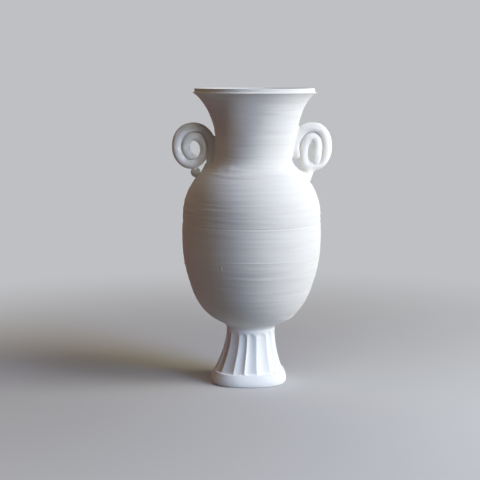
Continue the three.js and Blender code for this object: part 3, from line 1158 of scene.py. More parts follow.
def out_of(line: np.ndarray) -> np.ndarray:
    """Finds the way out of the clay along a line up the outside.

    Args:
        line: Radius and level of each point.

    Returns:
        The way at each point, outward and upward, of length 1.
    """
    along = np.gradient(line, axis=0)
    along /= np.linalg.norm(along, axis=1)[:, None]
    return np.column_stack([along[:, 1], -along[:, 0]])


@dataclass(frozen=True)
class Mark:
    """A dent or a swelling that a hand left on the outside of a wall."""

    turn: float
    level: float
    wide: float
    high: float
    rise: float

    def height(self, turns: np.ndarray, radius: np.ndarray, level: np.ndarray) -> np.ndarray:
        """Gives how far the mark moves the wall outward.

        Args:
            turns: How far round from the front each point is, in radians.
            radius: The radius at each point.
            level: The level of each point.

        Returns:
            The distances in millimetres.
        """
        away = (turns - math.radians(self.turn) + math.pi) % FULL_TURN - math.pi
        across = away * radius / self.wide
        up = (level - self.level) / self.high
        return self.rise * np.exp(-(across**2) - up**2)


@dataclass(frozen=True)
class Band:
    """A band round a wall that is marked more strongly than the rest of it."""

    level: float
    half: float
    share: float

    def strength(self, level: np.ndarray) -> np.ndarray:
        """Gives what the band adds at each level."""
        return self.share * np.exp(-(((level - self.level) / self.half) ** 2))


def banded(plain: float, *bands: Band) -> Callable[[np.ndarray], np.ndarray]:
    """Makes the rule for how strongly a wall is marked.

    Args:
        plain: The strength away from all bands.
        bands: The bands.

    Returns:
        The rule, which gives the strength at each level.
    """
    return lambda level: plain + sum(band.strength(level) for band in bands)


# The clay that was wiped on where the left handle's tail meets the shoulder and the neck
LUTING = Mark(-90.0, 333.0, 9.0, 7.5, 6.0)

# The marks of the hands and tools on each kind of work, in metres
THROWING = {
    "Ring_Depth": 0.0011,
    "Ring_Pitch": 0.0065,
    "Ring_Run": 0.11,
    "Swell_Depth": 0.0014,
    "Swell_Pitch": 0.02,
    "Swell_Run": 0.12,
    "Wander": 0.0025,
    "Wander_Run": 0.06,
    "Seed": 2.0,
}
LIP_THROWING = THROWING | {"Seed": 4.0}
SLAB_CUTTING = {
    "Ring_Depth": 0.00018,
    "Ring_Pitch": 0.005,
    "Ring_Run": 0.02,
    "Swell_Depth": 0.0006,
    "Swell_Pitch": 0.016,
    "Swell_Run": 0.03,
    "Seed": 3.0,
}
STEM_CARVING = {
    "Ring_Depth": 0.00012,
    "Ring_Pitch": 0.004,
    "Ring_Run": 0.006,
    "Swell_Depth": 0.00035,
    "Swell_Pitch": 0.018,
    "Swell_Run": 0.012,
    "Seed": 5.0,
}


def columns_near(turn: float, reach: float = 3.6, extra: int = 26) -> np.ndarray:
    """Places a wall's columns, closer together about a small mark.

    Args:
        turn: How far round the mark is, in degrees.
        reach: How far the close columns go to each side, in degrees.
        extra: How many there are.

    Returns:
        How far round each column is, in radians.
    """
    even = even_turns(WALL_COLUMNS)
    close = np.radians((turn + np.linspace(-reach, reach, extra)) % 360.0)
    away = np.abs(even[:, None] - close[None]).min(axis=1)
    return np.sort(np.concatenate([even[away > even[1] / 3], close]))


@dataclass
class Wall:
    """A piece turned about the axis, as a line up the outside and one down the inside.

    Where it is a bowl or a disc, its line starts and ends on the axis. Otherwise the line closes on
    itself.
    """

    outside: np.ndarray
    inside: np.ndarray
    skin: Callable[[np.ndarray], np.ndarray]
    inner_skin: float = 0.6
    marks: Sequence[Mark] = ()
    seam: Callable[[np.ndarray, np.ndarray], np.ndarray] | None = None
    is_closed_below: bool = False
    columns: np.ndarray = field(default_factory=lambda: even_turns(WALL_COLUMNS))

    def turned(self, name: str) -> bpy.types.Object:
        """Turns the wall.

        Args:
            name: The object's name.

        Returns:
            The object, whose points carry which way is out, how strongly they are marked, how far round
            they are and whether they are on the outside.
        """
        line = np.vstack([self.outside, self.inside])
        out = np.vstack([out_of(self.outside), -out_of(self.inside[::-1])[::-1]])
        is_outside = np.arange(len(line)) < len(self.outside)
        skin = np.where(is_outside, self.skin(line[:, 1]), self.inner_skin)
        seats = [len(self.outside), len(line) - 1]
        skin[seats] = 0.0
        turns = self.columns
        radius, level = (np.repeat(column, len(turns)) for column in line.T)
        round_out, up_out = (np.repeat(column, len(turns)) for column in out.T)
        around = np.tile(turns, len(line))
        moved = np.zeros(len(radius))
        for mark in self.marks:
            moved += mark.height(around, radius, level)
        if self.seam is not None:
            moved += self.seam(around, level)
        moved *= np.repeat(is_outside, len(turns))
        radius = radius + moved * round_out
        level = level + moved * up_out
        points = np.column_stack([radius * np.sin(around), -radius * np.cos(around), level])
        if self.is_closed_below:
            ends = [[0.0, 0.0, self.outside[0, 1]], [0.0, 0.0, self.inside[-1, 1]]]
            points = np.vstack([points, ends])
        piece = new_piece(name, points, ring_faces(len(line), len(turns), self.is_closed_below))
        extra = len(points) - len(around)
        outward = np.column_stack([round_out * np.sin(around), -round_out * np.cos(around), up_out])
        carry(piece, "outward", np.vstack([outward, np.zeros((extra, 3))]))
        for label, values in (
            ("skin", np.repeat(skin, len(turns))),
            ("turn", around),
            ("outside", np.repeat(is_outside.astype(float), len(turns))),
        ):
            carry(piece, label, np.concatenate([values, np.zeros(extra)]))
        return piece


def inner_line(
    outside: np.ndarray,
    wall: float,
    top_radius: float,
    foot_radius: float,
    foot: float | None = None,
) -> np.ndarray:
    """Draws the inside of a wall from its top seat down to its foot.

    Args:
        outside: The line up its outside.
        wall: How thick it is.
        top_radius: The radius of the inside at the top seat.
        foot_radius: The radius of the inside at the foot.
        foot: The level of the foot, where that is above the outside's.

    Returns:
        Radius and level of each point.
    """
    margin = wall / 3
    low = outside[0, 1] if foot is None else foot
    high = outside[-1, 1]
    moved = outside - out_of(outside) * wall
    kept = moved[(moved[:, 1] > low + margin) & (moved[:, 1] < high - margin)][::-1]
    return np.vstack([[[top_radius, high]], respaced(kept, INNER_ROW), [[foot_radius, low]]])


@dataclass
class Foot:
    """The foot slab, the fluted stem on it, and the crumbs that the loop tool left between them."""

    stem_foot_radius: float = 52.5
    stem_top_radius: float = STEM_TOP_RADIUS
    stem_wall: float = 9.0
    stem_leave: tuple[float, float] = (-6.3, 15.0)
    stem_arrive: tuple[float, float] = (-0.7, -24.5)
    slab_ledge: float = 1.0
    slab_flare: float = 4.5
    slab_widest_level: float = 4.5
    slab_rounding: float = 2.5
    slab_hole_step: float = 2.5
    slab_squareness: float = 2.5
    slab_row: float = 0.6
    slab_hole_row: float = 2.0
    slab_mark_levels: tuple[float, float] = (0.5, 4.0)
    flute_count: int = 16
    flute_depth: float = 3.2
    flute_head_depth: float = 2.4
    flute_head_run: float = 7.0
    collar_height: float = 3.5
    flute_turn: float = -7.5
    flute_wander: float = 2.2
    flute_wander_waves: int = 5
    flute_wander_start: float = 240.0
    columns_per_flute: int = 24
    flute_crowding: float = 0.6
    collar_rounding: float = 8.0
    collar_rounding_passes: int = 10
    stem_mark_share: float = 0.4
    stem_mark_drop: tuple[float, float] = (12.0, 4.0)
    crumb_seed: int = 16
    crumb_count: int = 26
    crumb_spread: tuple[float, float] = (-0.3, 1.6)
    crumb_rise: float = 0.2

    def stem_line(self) -> np.ndarray:
        """Draws the outside of the stem at its arrises."""
        bend = Bend(self.stem_leave, self.stem_arrive, (self.stem_top_radius, LOWER_BODY_LEVEL))
        return outline((self.stem_foot_radius, STEM_LEVEL), bend)

    def build(self, shop: Workshop) -> None:
        """Makes the pieces.

        Args:
            shop: What they are made with.
        """
        self.build_slab(shop)
        self.build_stem(shop)
        self.build_crumbs(shop)

    def build_slab(self, shop: Workshop) -> None:
        """Makes the slab: a thick ring, squarish in plan, with a soft upper edge.

        Args:
            shop: What it is made with.
        """
        ledge = self.stem_foot_radius + self.slab_ledge
        widest = ledge + self.slab_flare
        hole = self.stem_foot_radius - self.stem_wall - self.slab_hole_step
        side = outline(
            (widest - self.slab_rounding, 0.0),
            Bend((1.8, 0.2), (0.0, -2.0), (widest, self.slab_widest_level)),
            Bend((0.0, 5.0), (1.2, -2.6), (ledge + 0.7, STEM_LEVEL - 1.5)),
            Bend((-0.5, 0.9), (0.9, 0.0), (ledge - 0.8, STEM_LEVEL)),
            spacing=self.slab_row,
        )
        inside = respaced(np.array([[hole, STEM_LEVEL], [hole, 0.0]]), self.slab_hole_row)
        wall = Wall(side, inside, skin=lambda level: ease(level, *self.slab_mark_levels), inner_skin=0.0)
        slab = wall.turned("slab_of_the_foot")
        points = placed_points(slab)
        radius = np.hypot(points[:, 0], points[:, 1])
        power = self.slab_squareness
        across, along = (np.abs(points[:, axis] / radius) ** power for axis in (0, 1))
        corner = (across + along) ** (-1 / power)
        stretch = 1 + (corner - 1) * ease(radius / MM, hole, ledge)
        points[:, :2] *= stretch[:, None]
        move_points(slab, points)
        shop.keep_turned(slab, CARVED, "foot_slab", SLAB_CUTTING)

    def build_stem(self, shop: Workshop) -> None:
        """Makes the stem, whose columns crowd together at the arrises.

        Args:
            shop: What it is made with.
        """
        plain_line = self.stem_line()
        outside = softened(
            plain_line, LOWER_BODY_LEVEL, self.collar_rounding, self.collar_rounding_passes
        )
        top_hole = self.stem_top_radius - self.stem_wall
        foot_hole = self.stem_foot_radius - self.stem_wall
        inside = inner_line(outside, self.stem_wall, top_hole, foot_hole)
        share = np.arange(self.columns_per_flute) / self.columns_per_flute
        crowding = self.flute_crowding
        crowded = (1 - np.cos(share * math.pi)) / 2 * crowding + share * (1 - crowding)
        columns = (np.arange(self.flute_count)[:, None] + crowded).ravel() / self.flute_count * FULL_TURN
        plain = self.stem_mark_share
        low, high = (LOWER_BODY_LEVEL - drop for drop in self.stem_mark_drop)

        def skin(level: np.ndarray) -> np.ndarray:
            """Gives how strongly a level is marked: the collar more than the flutes."""
            return plain + (1 - plain) * ease(level, low, high)

        stem = Wall(outside, inside, skin, inner_skin=0.5, columns=columns).turned("stem_with_flutes")
        turn = math.radians(self.flute_turn)
        head = LOWER_BODY_LEVEL - self.collar_height
        shop.flutes.apply(
            stem,
            shop.finishes[CARVED],
            Count=float(self.flute_count),
            Foot_Depth=self.flute_depth * MM,
            Head_Depth=self.flute_head_depth * MM,
            Foot_Level=STEM_LEVEL * MM,
            Head_Level=head * MM,
            Head_Run=self.flute_head_run * MM,
            Wander=math.radians(self.flute_wander),
            Wander_Waves=float(self.flute_wander_waves),
            Wander_Start=math.radians(self.flute_wander_start) + self.flute_wander_waves * turn,
        )
        turned = placed_points(stem)
        cos, sin = math.cos(turn), math.sin(turn)
        turned[:, :2] = turned[:, :2] @ np.array([[cos, sin], [-sin, cos]])
        move_points(stem, turned)
        shop.keep_turned(stem, CARVED, "fluted_stem", STEM_CARVING)

    def build_crumbs(self, shop: Workshop) -> None:
        """Scatters crumbs on the slab's ledge at the foot of the flutes.

        Args:
            shop: What they are made with.
        """
        dice = np.random.default_rng(self.crumb_seed)
        turns = dice.uniform(0.0, FULL_TURN, self.crumb_count)
        radius = self.stem_foot_radius - dice.uniform(*self.crumb_spread, self.crumb_count)
        level = np.full(self.crumb_count, STEM_LEVEL + self.crumb_rise)
        places = np.column_stack([radius * np.sin(turns), -radius * np.cos(turns), level])
        crumbs = new_piece("crumbs_of_clay", places, [])
        shop.crumbs.apply(crumbs, shop.finishes[CARVED])
        settle_piece(crumbs)
        shop.keep(crumbs, CARVED)


@dataclass
class Body:
    """The two thrown halves of the body, which meet in a seam at its widest."""

    stem_top_radius: float = STEM_TOP_RADIUS
    flank_radius: float = 93.3
    flank_height: float = 66.0
    seam_radius: float = 104.9
    seam_step: float = 0.5
    neck_foot_radius: float = NECK_FOOT_RADIUS
    wall: float = THROWN_WALL
    floor: float = 9.0
    neck_seat: float = NECK_SEAT
    lower_skin: float = 0.32
    lower_bands: tuple[Band, ...] = (Band(165.0, 32.0, 0.2), Band(197.0, 8.0, 0.2), Band(236.0, 10.0, 0.1))
    upper_skin: float = 0.5
    upper_bands: tuple[Band, ...] = (Band(264.0, 24.0, 0.25), Band(328.0, 15.0, 0.6))
    neck_rounding: float = 10.0
    neck_rounding_passes: int = 26
    seam_rows: tuple[float, ...] = (0.25, 0.5, 0.8, 1.15, 1.5, 1.9, 2.4)
    sponge_reach: float = 4.0
    bead_rise: float = 0.16
    bead_drop: float = 1.3
    bead_half: float = 1.0
    crease_depth: float = 0.35
    crease_half: float = 0.5
    overhang: float = 0.5
    overhang_reach: float = 1.5
    lower_marks: tuple[Mark, ...] = (
        Mark(-27.6, 189.3, 1.3, 2.1, -0.8),
        Mark(-25.9, 189.3, 1.2, 2.1, 0.9),
        Mark(-89.0, 184.0, 2.5, 1.8, 0.9),
        Mark(85.0, 101.0, 36.0, 10.0, 3.2),
        Mark(60.0, 104.0, 26.0, 3.0, 0.8),
        Mark(40.0, 97.0, 22.0, 2.4, 0.6),
        Mark(-3.0, 198.8, 30.0, 0.9, 0.3),
        Mark(-3.0, 200.6, 30.0, 1.1, -0.2),
    )
    upper_marks: tuple[Mark, ...] = (
        LUTING,
        Mark(-90.0, 320.0, 22.0, 11.0, 1.8),
        Mark(-48.0, 330.0, 5.0, 2.2, 0.5),
        Mark(-30.0, 333.0, 4.0, 6.0, 0.4),
    )

    def lower_line(self) -> np.ndarray:
        """Draws the outside of the lower half.

        Returns:
            Radius and level of each point.
        """
        flank = (self.flank_radius, LOWER_BODY_LEVEL + self.flank_height)
        seam = (self.seam_radius + self.seam_step, UPPER_BODY_LEVEL)
        return outline(
            (self.stem_top_radius, LOWER_BODY_LEVEL),
            Bend((3.4, 14.2), (-17.6, -57.0), flank),
            Bend((9.4, 30.4), (1.6, -51.3), seam),
        )

    def upper_line(self) -> np.ndarray:
        """Draws the outside of the upper half."""
        neck = (self.neck_foot_radius, NECK_LEVEL)
        return outline((self.seam_radius, UPPER_BODY_LEVEL), Bend((1.4, 62.0), (15.7, -23.6), neck))

    @staticmethod
    def seam_strength(turns: np.ndarray) -> np.ndarray:
        """Gives how open the seam is round the body: sponged over in places, and open in others."""
        waves = 0.55 + 0.3 * np.sin(turns + 0.2) + 0.25 * np.sin(3 * turns + 0.9) + 0.15 * np.sin(7 * turns)
        return np.clip(waves, 0.08, 1.0)

    def lower_seam(self, turns: np.ndarray, level: np.ndarray) -> np.ndarray:
        """Works the top edge of the lower half: a crease and a bead under it where the seam is open.

        Args:
            turns: How far round from the front each point is, in radians.
            level: The level of each point.

        Returns:
            How far each point moves outward.
        """
        below = UPPER_BODY_LEVEL - level
        strength = self.seam_strength(turns)
        sponged = -self.seam_step * (1 - strength) * np.exp(-((below / self.sponge_reach) ** 2))
        bead = self.bead_rise * strength * np.exp(-(((below - self.bead_drop) / self.bead_half) ** 2))
        crease = -self.crease_depth * strength * np.exp(-((below / self.crease_half) ** 2))
        return sponged + bead + crease

    def upper_seam(self, turns: np.ndarray, level: np.ndarray) -> np.ndarray:
        """Works the foot edge of the upper half: it draws in over the seam where that is open."""
        fade = np.exp(-(((level - UPPER_BODY_LEVEL) / self.overhang_reach) ** 2))
        return -self.overhang * self.seam_strength(turns) * fade

    def build(self, shop: Workshop, neck_line: np.ndarray) -> np.ndarray:
        """Makes the pieces.

        Args:
            shop: What they are made with.
            neck_line: The outside of the neck, which the shoulder runs into.

        Returns:
            The outside of the neck with the corner at its foot rounded.
        """
        self.build_lower(shop)
        upper = self.upper_line()
        whole = np.vstack([upper, neck_line[1:]])
        joined = softened(whole, NECK_LEVEL, self.neck_rounding, self.neck_rounding_passes)
        self.build_upper(shop, joined[: len(upper)])
        return joined[len(upper) - 1 :]

    def crowded(self, line: np.ndarray) -> np.ndarray:
        """Crowds the points of a line at its start, where the seam is."""
        way = (line[3] - line[0]) / np.linalg.norm(line[3] - line[0])
        return np.vstack([line[:1], line[0] + way * np.array(self.seam_rows)[:, None], line[3:]])

    def build_lower(self, shop: Workshop) -> None:
        """Makes the lower half: a bowl with a closed floor.

        Args:
            shop: What it is made with.
        """
        outside = self.crowded(self.lower_line()[::-1])[::-1]
        floor = LOWER_BODY_LEVEL + self.floor
        moved = outside - out_of(outside) * self.wall
        floor_radius = float(np.interp(floor, moved[:, 1], moved[:, 0]))
        inside = inner_line(outside, self.wall, self.seam_radius - self.wall, floor_radius, floor)
        bowl = Wall(
            outside,
            inside,
            skin=banded(self.lower_skin, *self.lower_bands),
            marks=self.lower_marks,
            seam=self.lower_seam,
            is_closed_below=True,
            columns=columns_near(self.lower_marks[0].turn),
        ).turned("lower_half_of_the_body")
        shop.keep_turned(bowl, THROWN, "lower_body", THROWING)

    def build_upper(self, shop: Workshop, line: np.ndarray) -> None:
        """Makes the upper half: the shoulder, open at both ends.

        Args:
            shop: What it is made with.
            line: Its outside, from the seam up.
        """
        outside = self.crowded(line)
        opening = self.neck_foot_radius - self.neck_seat
        inside = inner_line(outside, self.wall, opening, self.seam_radius - self.wall)
        shoulder = Wall(
            outside,
            inside,
            skin=banded(self.upper_skin, *self.upper_bands),
            marks=self.upper_marks,
            seam=self.upper_seam,
        ).turned("upper_half_of_the_body")
        shop.keep_turned(shoulder, THROWN, "upper_body", THROWING)


@dataclass
class Neck:
    """The trumpet neck and the lip band on it."""

    foot_radius: float = NECK_FOOT_RADIUS
    top_radius: float = 91.5
    wall: float = THROWN_WALL
    foot_seat: float = NECK_SEAT
    top_seat: float = 11.0
    lip_overhang: float = 1.5
    lip_thickness: float = 11.0
    lip_set_back: float = 2.5
    lip_rounding: float = 1.0
    lip_row: float = 0.35
    lip_back_row: float = 0.6
    lip_skin: float = 0.35
    skin_share: float = 0.65
    foot_band: Band = Band(345.0, 14.0, 0.5)
    calm_level: float = 415.0
    calm_share: float = 0.4
    inner_skin: float = 0.9

    def line(self) -> np.ndarray:
        """Draws the outside of the neck."""
        top = (self.top_radius, LIP_LEVEL)
        return outline((self.foot_radius, NECK_LEVEL), Bend((-2.5, 13.0), (-33.5, -26.5), top))

    def build(self, shop: Workshop, outside: np.ndarray) -> None:
        """Makes the pieces.

        Args:
            shop: What they are made with.
            outside: The outside of the neck, with its foot rounded into the shoulder.
        """
        mouth = self.top_radius - self.top_seat
        inside = inner_line(outside, self.wall, mouth, self.foot_radius - self.foot_seat)
        thrown = banded(self.skin_share, self.foot_band)

        def skin(level: np.ndarray) -> np.ndarray:
            """Gives how strongly a level is marked: less where the neck flares out under the lip."""
            return thrown(level) - self.calm_share * ease(level, self.calm_level, LIP_LEVEL)

        trumpet = Wall(outside, inside, skin, self.inner_skin, (LUTING,)).turned("trumpet_of_the_neck")
        shop.keep_turned(trumpet, THROWN, "neck", THROWING)
        self.build_lip(shop)

    def build_lip(self, shop: Workshop) -> None:
        """Makes the lip band: a strip with an overhanging lower edge and a coved face.

        Args:
            shop: What it is made with.
        """
        edge = self.top_radius + self.lip_overhang
        face = edge - self.lip_set_back
        inner = edge - self.lip_thickness
        side = outline(
            (edge - 0.8, LIP_LEVEL),
            Bend((0.5, 0.0), (0.0, -0.4), (edge, LIP_LEVEL + 0.7)),
            Bend((-0.2, 0.5), (0.0, -1.4), (face + 0.1, LIP_LEVEL + 3.6)),
            Bend((0.0, 1.0), (0.0, -0.8), (face, TOP_LEVEL - self.lip_rounding)),
            Bend((0.0, 0.6), (0.6, 0.0), (face - self.lip_rounding, TOP_LEVEL)),
            spacing=self.lip_row,
        )
        back = outline(
            (inner, LIP_LEVEL),
            Bend((0.0, 2.0), (0.0, -1.5), (inner, TOP_LEVEL - 2 * self.lip_rounding)),
            Bend((0.0, 1.2), (-1.2, 0.0), (inner + 2 * self.lip_rounding, TOP_LEVEL)),
            spacing=self.lip_back_row,
        )
        wall = Wall(side, back[::-1], skin=banded(self.lip_skin), inner_skin=self.lip_skin)
        shop.keep_turned(wall.turned("band_of_the_lip"), THROWN, "rim_band", LIP_THROWING)


@dataclass(frozen=True)
class Roll:
    """A roll of clay along a line."""

    line: np.ndarray
    girth: np.ndarray

    def distance(self, places: np.ndarray, margin: float = 12.0) -> np.ndarray:
        """Gives how far places are from the roll's surface.

        Args:
            places: The places, one in each row.
            margin: How far outside the places' box the roll still counts.

        Returns:
            The distances, below 0 inside the roll.
        """
        nearest = np.full(len(places), np.inf)
        low, high = places.min(axis=0) - margin, places.max(axis=0) + margin
        for at in range(len(self.line) - 1):
            start, way = self.line[at], self.line[at + 1] - self.line[at]
            if np.any(start < low) or np.any(start > high):
                continue
            share = np.clip((places - start) @ way / max(way @ way, 1e-9), 0, 1)
            away = np.linalg.norm(places - start - share[:, None] * way, axis=1)
            girth = self.girth[at] + share * (self.girth[at + 1] - self.girth[at])
            nearest = np.minimum(nearest, away - girth)
        return nearest


def blended(first: np.ndarray, second: np.ndarray, width: float) -> np.ndarray:
    """Joins two distances smoothly.

    Args:
        first: Distances from one surface.
        second: Distances from another.
        width: How wide the smooth part is.

    Returns:
        The distances from both, with a fillet between them.
    """
    overlap = np.clip(width - np.abs(first - second), 0, None) / width
    return np.minimum(first, second) - overlap**2 * width / 4


def skin_of(values: np.ndarray, corner: np.ndarray, cell: float) -> tuple[np.ndarray, list[list[int]]]:
    """Finds the surface where the values on a grid are 0, below which they are inside.

    Args:
        values: The values at the grid's points.
        corner: The place of its first point.
        cell: The distance between two points.

    Returns:
        The points of the surface, and the points of each of its faces.
    """
    cells = np.array(values.shape) - 1
    total = np.zeros((*cells, 3))
    count = np.zeros(cells)
    crossings = []
    for axis in range(3):
        beside = ((axis + 1) % 3, (axis + 2) % 3)
        low = values.take(range(cells[axis]), axis=axis)
        high = values.take(range(1, cells[axis] + 1), axis=axis)
        crossed = (low < 0) != (high < 0)
        share = np.where(crossed, low / np.where(crossed, low - high, 1.0), 0.0)
        place = np.stack(np.indices(low.shape), axis=-1).astype(float)
        place[..., axis] += share
        crossings.append((axis, beside, crossed, low < 0))
        for shift in ((0, 0), (0, 1), (1, 0), (1, 1)):
            cut = [slice(None)] * 3
            for other, by in zip(beside, shift):
                cut[other] = slice(by, by + cells[other])
            part = tuple(cut)
            total += place[part] * crossed[part][..., None]
            count += crossed[part]
    active = count > 0
    number = np.full(cells, -1)
    number[active] = np.arange(active.sum())
    points = total[active] / count[active][:, None] * cell + corner
    faces: list[list[int]] = []
    for axis, (u, v), crossed, is_low_inside in crossings:
        at = np.argwhere(crossed)
        inner = (at[:, u] > 0) & (at[:, v] > 0) & (at[:, u] < cells[u]) & (at[:, v] < cells[v])
        at = at[inner]
        corners = []
        for du, dv in ((1, 1), (0, 1), (0, 0), (1, 0)):
            cell_at = at.copy()
            cell_at[:, u] -= du
            cell_at[:, v] -= dv
            corners.append(number[tuple(cell_at.T)])
        quads = np.stack(corners, axis=-1)
        is_forward = is_low_inside[tuple(at.T)]
        quads[~is_forward] = quads[~is_forward][:, ::-1]
        faces += quads.tolist()
    return points, faces


@dataclass
class SpiralHandle:
    """A handle: a roll of clay wound into a spiral beside the neck, held up by a pellet.

    The spiral's middle is at a level above the neck's foot. Its first turn reaches across and up from
    there, and every turn closes in by so much and drifts towards the neck. Each quarter turn is as
    squarish as its corner says, where 2 is round, and the girth is a share of the coil's radius at some
    turns. The tail's points are given from the neck's face, and the tip's from the spiral's middle.
    """

    side: Side
    level: float
    across: float
    up: float
    close: tuple[float, float]
    drift: float
    turns: float
    corners: tuple[float, ...]
    girth: tuple[tuple[float, float], ...]
    tail: tuple[tuple[float, float, float], ...]
    tip: tuple[tuple[float, float], ...]
    pellet_into_shoulder: float
    pellet_into_coil: float
    wipe_on_neck: float
    wipe_on_pellet: float
    seed: float
    into_neck: float = 0.0
    coil_radius: float = 6.5
    tail_radius: float = 1.6
    tip_radius: float = 2.4
    pellet_radius: float = 7.6
    pellet_lumps: tuple[float, float] = (0.25, 0.2)
    pellet_columns: int = 64
    pellet_rings: int = 32
    pellet_step: float = 0.25
    pellet_sharp: float = 50.0
    steps_per_turn: int = 96
    own_length: float = 5.0
    press_fade: float = 0.75
    wipe_sharp: float = 60.0
    wipe_cell: float = 0.7
    wipe_sunk: float = 0.3
    wipe_depth: float = 1.6
    wipe_reach: tuple[float, float] = (50.0, 100.0)
    wipe_front: float = 19.0
    wipe_back: float = 15.0
    wipe_below: float = 30.0
    wipe_above: float = 62.0

    @property
    def name(self) -> str:
        """Gives the handle's name."""
        return f"{self.side.name.lower()}_handle"

    def coil_radius_at(self, turn: float) -> float:
        """Gives the coil's radius at a turn, eased between the stations of its girth.

        Args:
            turn: How many turns the coil has made.

        Returns:
            The radius.
        """
        after = max(next(at for at, (station, _) in enumerate(self.girth) if station >= turn), 1)
        (from_turn, from_share), (to_turn, to_share) = self.girth[after - 1], self.girth[after]
        return self.coil_radius * (from_share + (to_share - from_share) * ease(turn, from_turn, to_turn))

    def roll(self, neck_line: np.ndarray) -> Roll:
        """Winds the handle's line.

        Args:
            neck_line: The outside of the neck.

        Returns:
            The roll from the end of its tail to its tip.
        """
        sign = self.side.value
        middle = NECK_LEVEL + self.level
        face = float(np.interp(middle, neck_line[:, 1], neck_line[:, 0])) + sign * lean_at(middle)
        centre = face + self.coil_radius_at(0.0) - self.into_neck + self.across
        steps = round(self.turns * self.steps_per_turn)
        places, girths = [], []
        for step in range(steps + 1):
            turn = step / self.steps_per_turn
            quarter = int(turn * 4)
            corner = self.corners[quarter] if quarter < len(self.corners) else 2.0
            round_at = (math.cos(turn * FULL_TURN), math.sin(turn * FULL_TURN))
            inward, upward = (math.copysign(abs(share) ** (2 / corner), share) for share in round_at)
            out = -(self.across - self.close[0] * turn) * inward - self.drift * turn
            above = (self.up - self.close[1] * turn) * upward
            places.append((sign * (centre + out), 0.0, middle + above))
            girths.append(self.coil_radius_at(turn))
        tail = [(sign * (face + out), -front, NECK_LEVEL + above) for out, front, above in self.tail]
        tip = [(sign * (centre + out), 0.0, middle + above) for out, above in self.tip]
        tail_girth = np.linspace(self.tail_radius, girths[0], len(tail) + 1)[:-1]
        tip_girth = np.linspace(girths[-1], self.tip_radius, len(tip) + 1)[1:]
        line = np.array(tail + places + tip)
        girth = np.concatenate([tail_girth, girths, tip_girth])
        return self.rounded(*self.drawn(line, girth))

    @staticmethod
    def drawn(line: np.ndarray, girth: np.ndarray, spacing: float = 1.3) -> tuple[np.ndarray, np.ndarray]:
        """Draws a smooth curve through a line's points.

        Args:
            line: The points.
            girth: The roll's radius at each of them.
            spacing: The distance between two points of the curve.

        Returns:
            The curve's points, and the radius at each.
        """
        data = np.column_stack([line, girth])
        along = length_along(line)
        slope = np.gradient(data, along, axis=0)
        wanted = np.linspace(0.0, along[-1], int(along[-1] / spacing) + 1)
        at = np.clip(np.searchsorted(along, wanted, side="right") - 1, 0, len(along) - 2)
        length = (along[at + 1] - along[at])[:, None]
        s = ((wanted - along[at]) / length[:, 0])[:, None]
        curve = (
            (2 * s**3 - 3 * s**2 + 1) * data[at]
            + (s**3 - 2 * s**2 + s) * length * slope[at]
            + (3 * s**2 - 2 * s**3) * data[at + 1]
            + (s**3 - s**2) * length * slope[at + 1]
        )
        return curve[:, :3], curve[:, 3]

    @staticmethod
    def rounded(line: np.ndarray, girth: np.ndarray) -> Roll:
        """Rounds both ends of a roll.

        Args:
            line: The points of its line.
            girth: Its radius at each.

        Returns:
            The roll with a round nose at each end.
        """
        nose = np.array([0.3, 0.55, 0.75, 0.9, 0.97, 0.999])
        fall = np.sqrt(1 - nose**2)
        tail, tip = (
            end + (end - beside) / np.linalg.norm(end - beside) * (nose * radius)[:, None]
            for end, beside, radius in ((line[0], line[1], girth[0]), (line[-1], line[-2], girth[-1]))
        )
        return Roll(
            np.vstack([tail[::-1], line, tip]),
            np.concatenate([(fall * girth[0])[::-1], girth, fall * girth[-1]]),
        )

    def pressed(self, roll: Roll, reach: float = 3.2, give: float = 0.12, passes: int = 12) -> Roll:
        """Presses the turns of the coil together where they lie close.

        Args:
            roll: The coil.
            reach: The widest gap that is closed.
            give: How far two turns sink into each other.
            passes: How often the change along the coil is evened out.

        Returns:
            The coil, thicker where it meets its neighbouring turn.
        """
        away = np.linalg.norm(roll.line[:, None] - roll.line[None], axis=2)
        gap = away - roll.girth[:, None] - roll.girth[None]
        along = length_along(roll.line)
        is_same_turn = np.abs(along[:, None] - along[None]) < self.own_length * self.coil_radius
        gap[is_same_turn] = np.inf
        least = gap.min(axis=1)
        pressing = 1 - ease(least, reach * self.press_fade, reach)
        grow = (np.clip(least, -give, reach) / 2 + give) * pressing
        for _ in range(passes):
            grow[1:-1] = (grow[:-2] + 2 * grow[1:-1] + grow[2:]) / 4
        fade = np.minimum(roll.girth / roll.girth.max() * 2, 1)
        return Roll(roll.line, roll.girth + grow * fade)

    def pellet_place(self, roll: Roll, shoulder: np.ndarray) -> np.ndarray:
        """Rolls the pellet up the shoulder until it is pressed into the coil.

        Args:
            roll: The handle's coil.
            shoulder: The outside of the shoulder.

        Returns:
            The pellet's centre.
        """
        track = shoulder + out_of(shoulder) * (self.pellet_radius - self.pellet_into_shoulder)
        track = respaced(track, self.pellet_step)
        x = self.side.value * track[:, 0] + lean_at(track[:, 1])
        places = np.column_stack([x, np.zeros(len(track)), track[:, 1]])
        reach = self.pellet_radius - self.pellet_into_coil
        touching = np.flatnonzero(roll.distance(places) < reach)
        return places[touching[0]]

    def build(self, shop: Workshop, shoulder: np.ndarray, neck_line: np.ndarray) -> None:
        """Makes the pieces.

        Args:
            shop: What they are made with.
            shoulder: The outside of the shoulder.
            neck_line: The outside of the neck.
        """
        wound = self.roll(neck_line)
        centre = self.pellet_place(wound, shoulder)
        roll = self.pressed(wound)
        self.build_coil(shop, roll)
        self.build_pellet(shop, centre)
        self.build_wiped_clay(shop, roll, centre, np.vstack([shoulder, neck_line[1:]]))

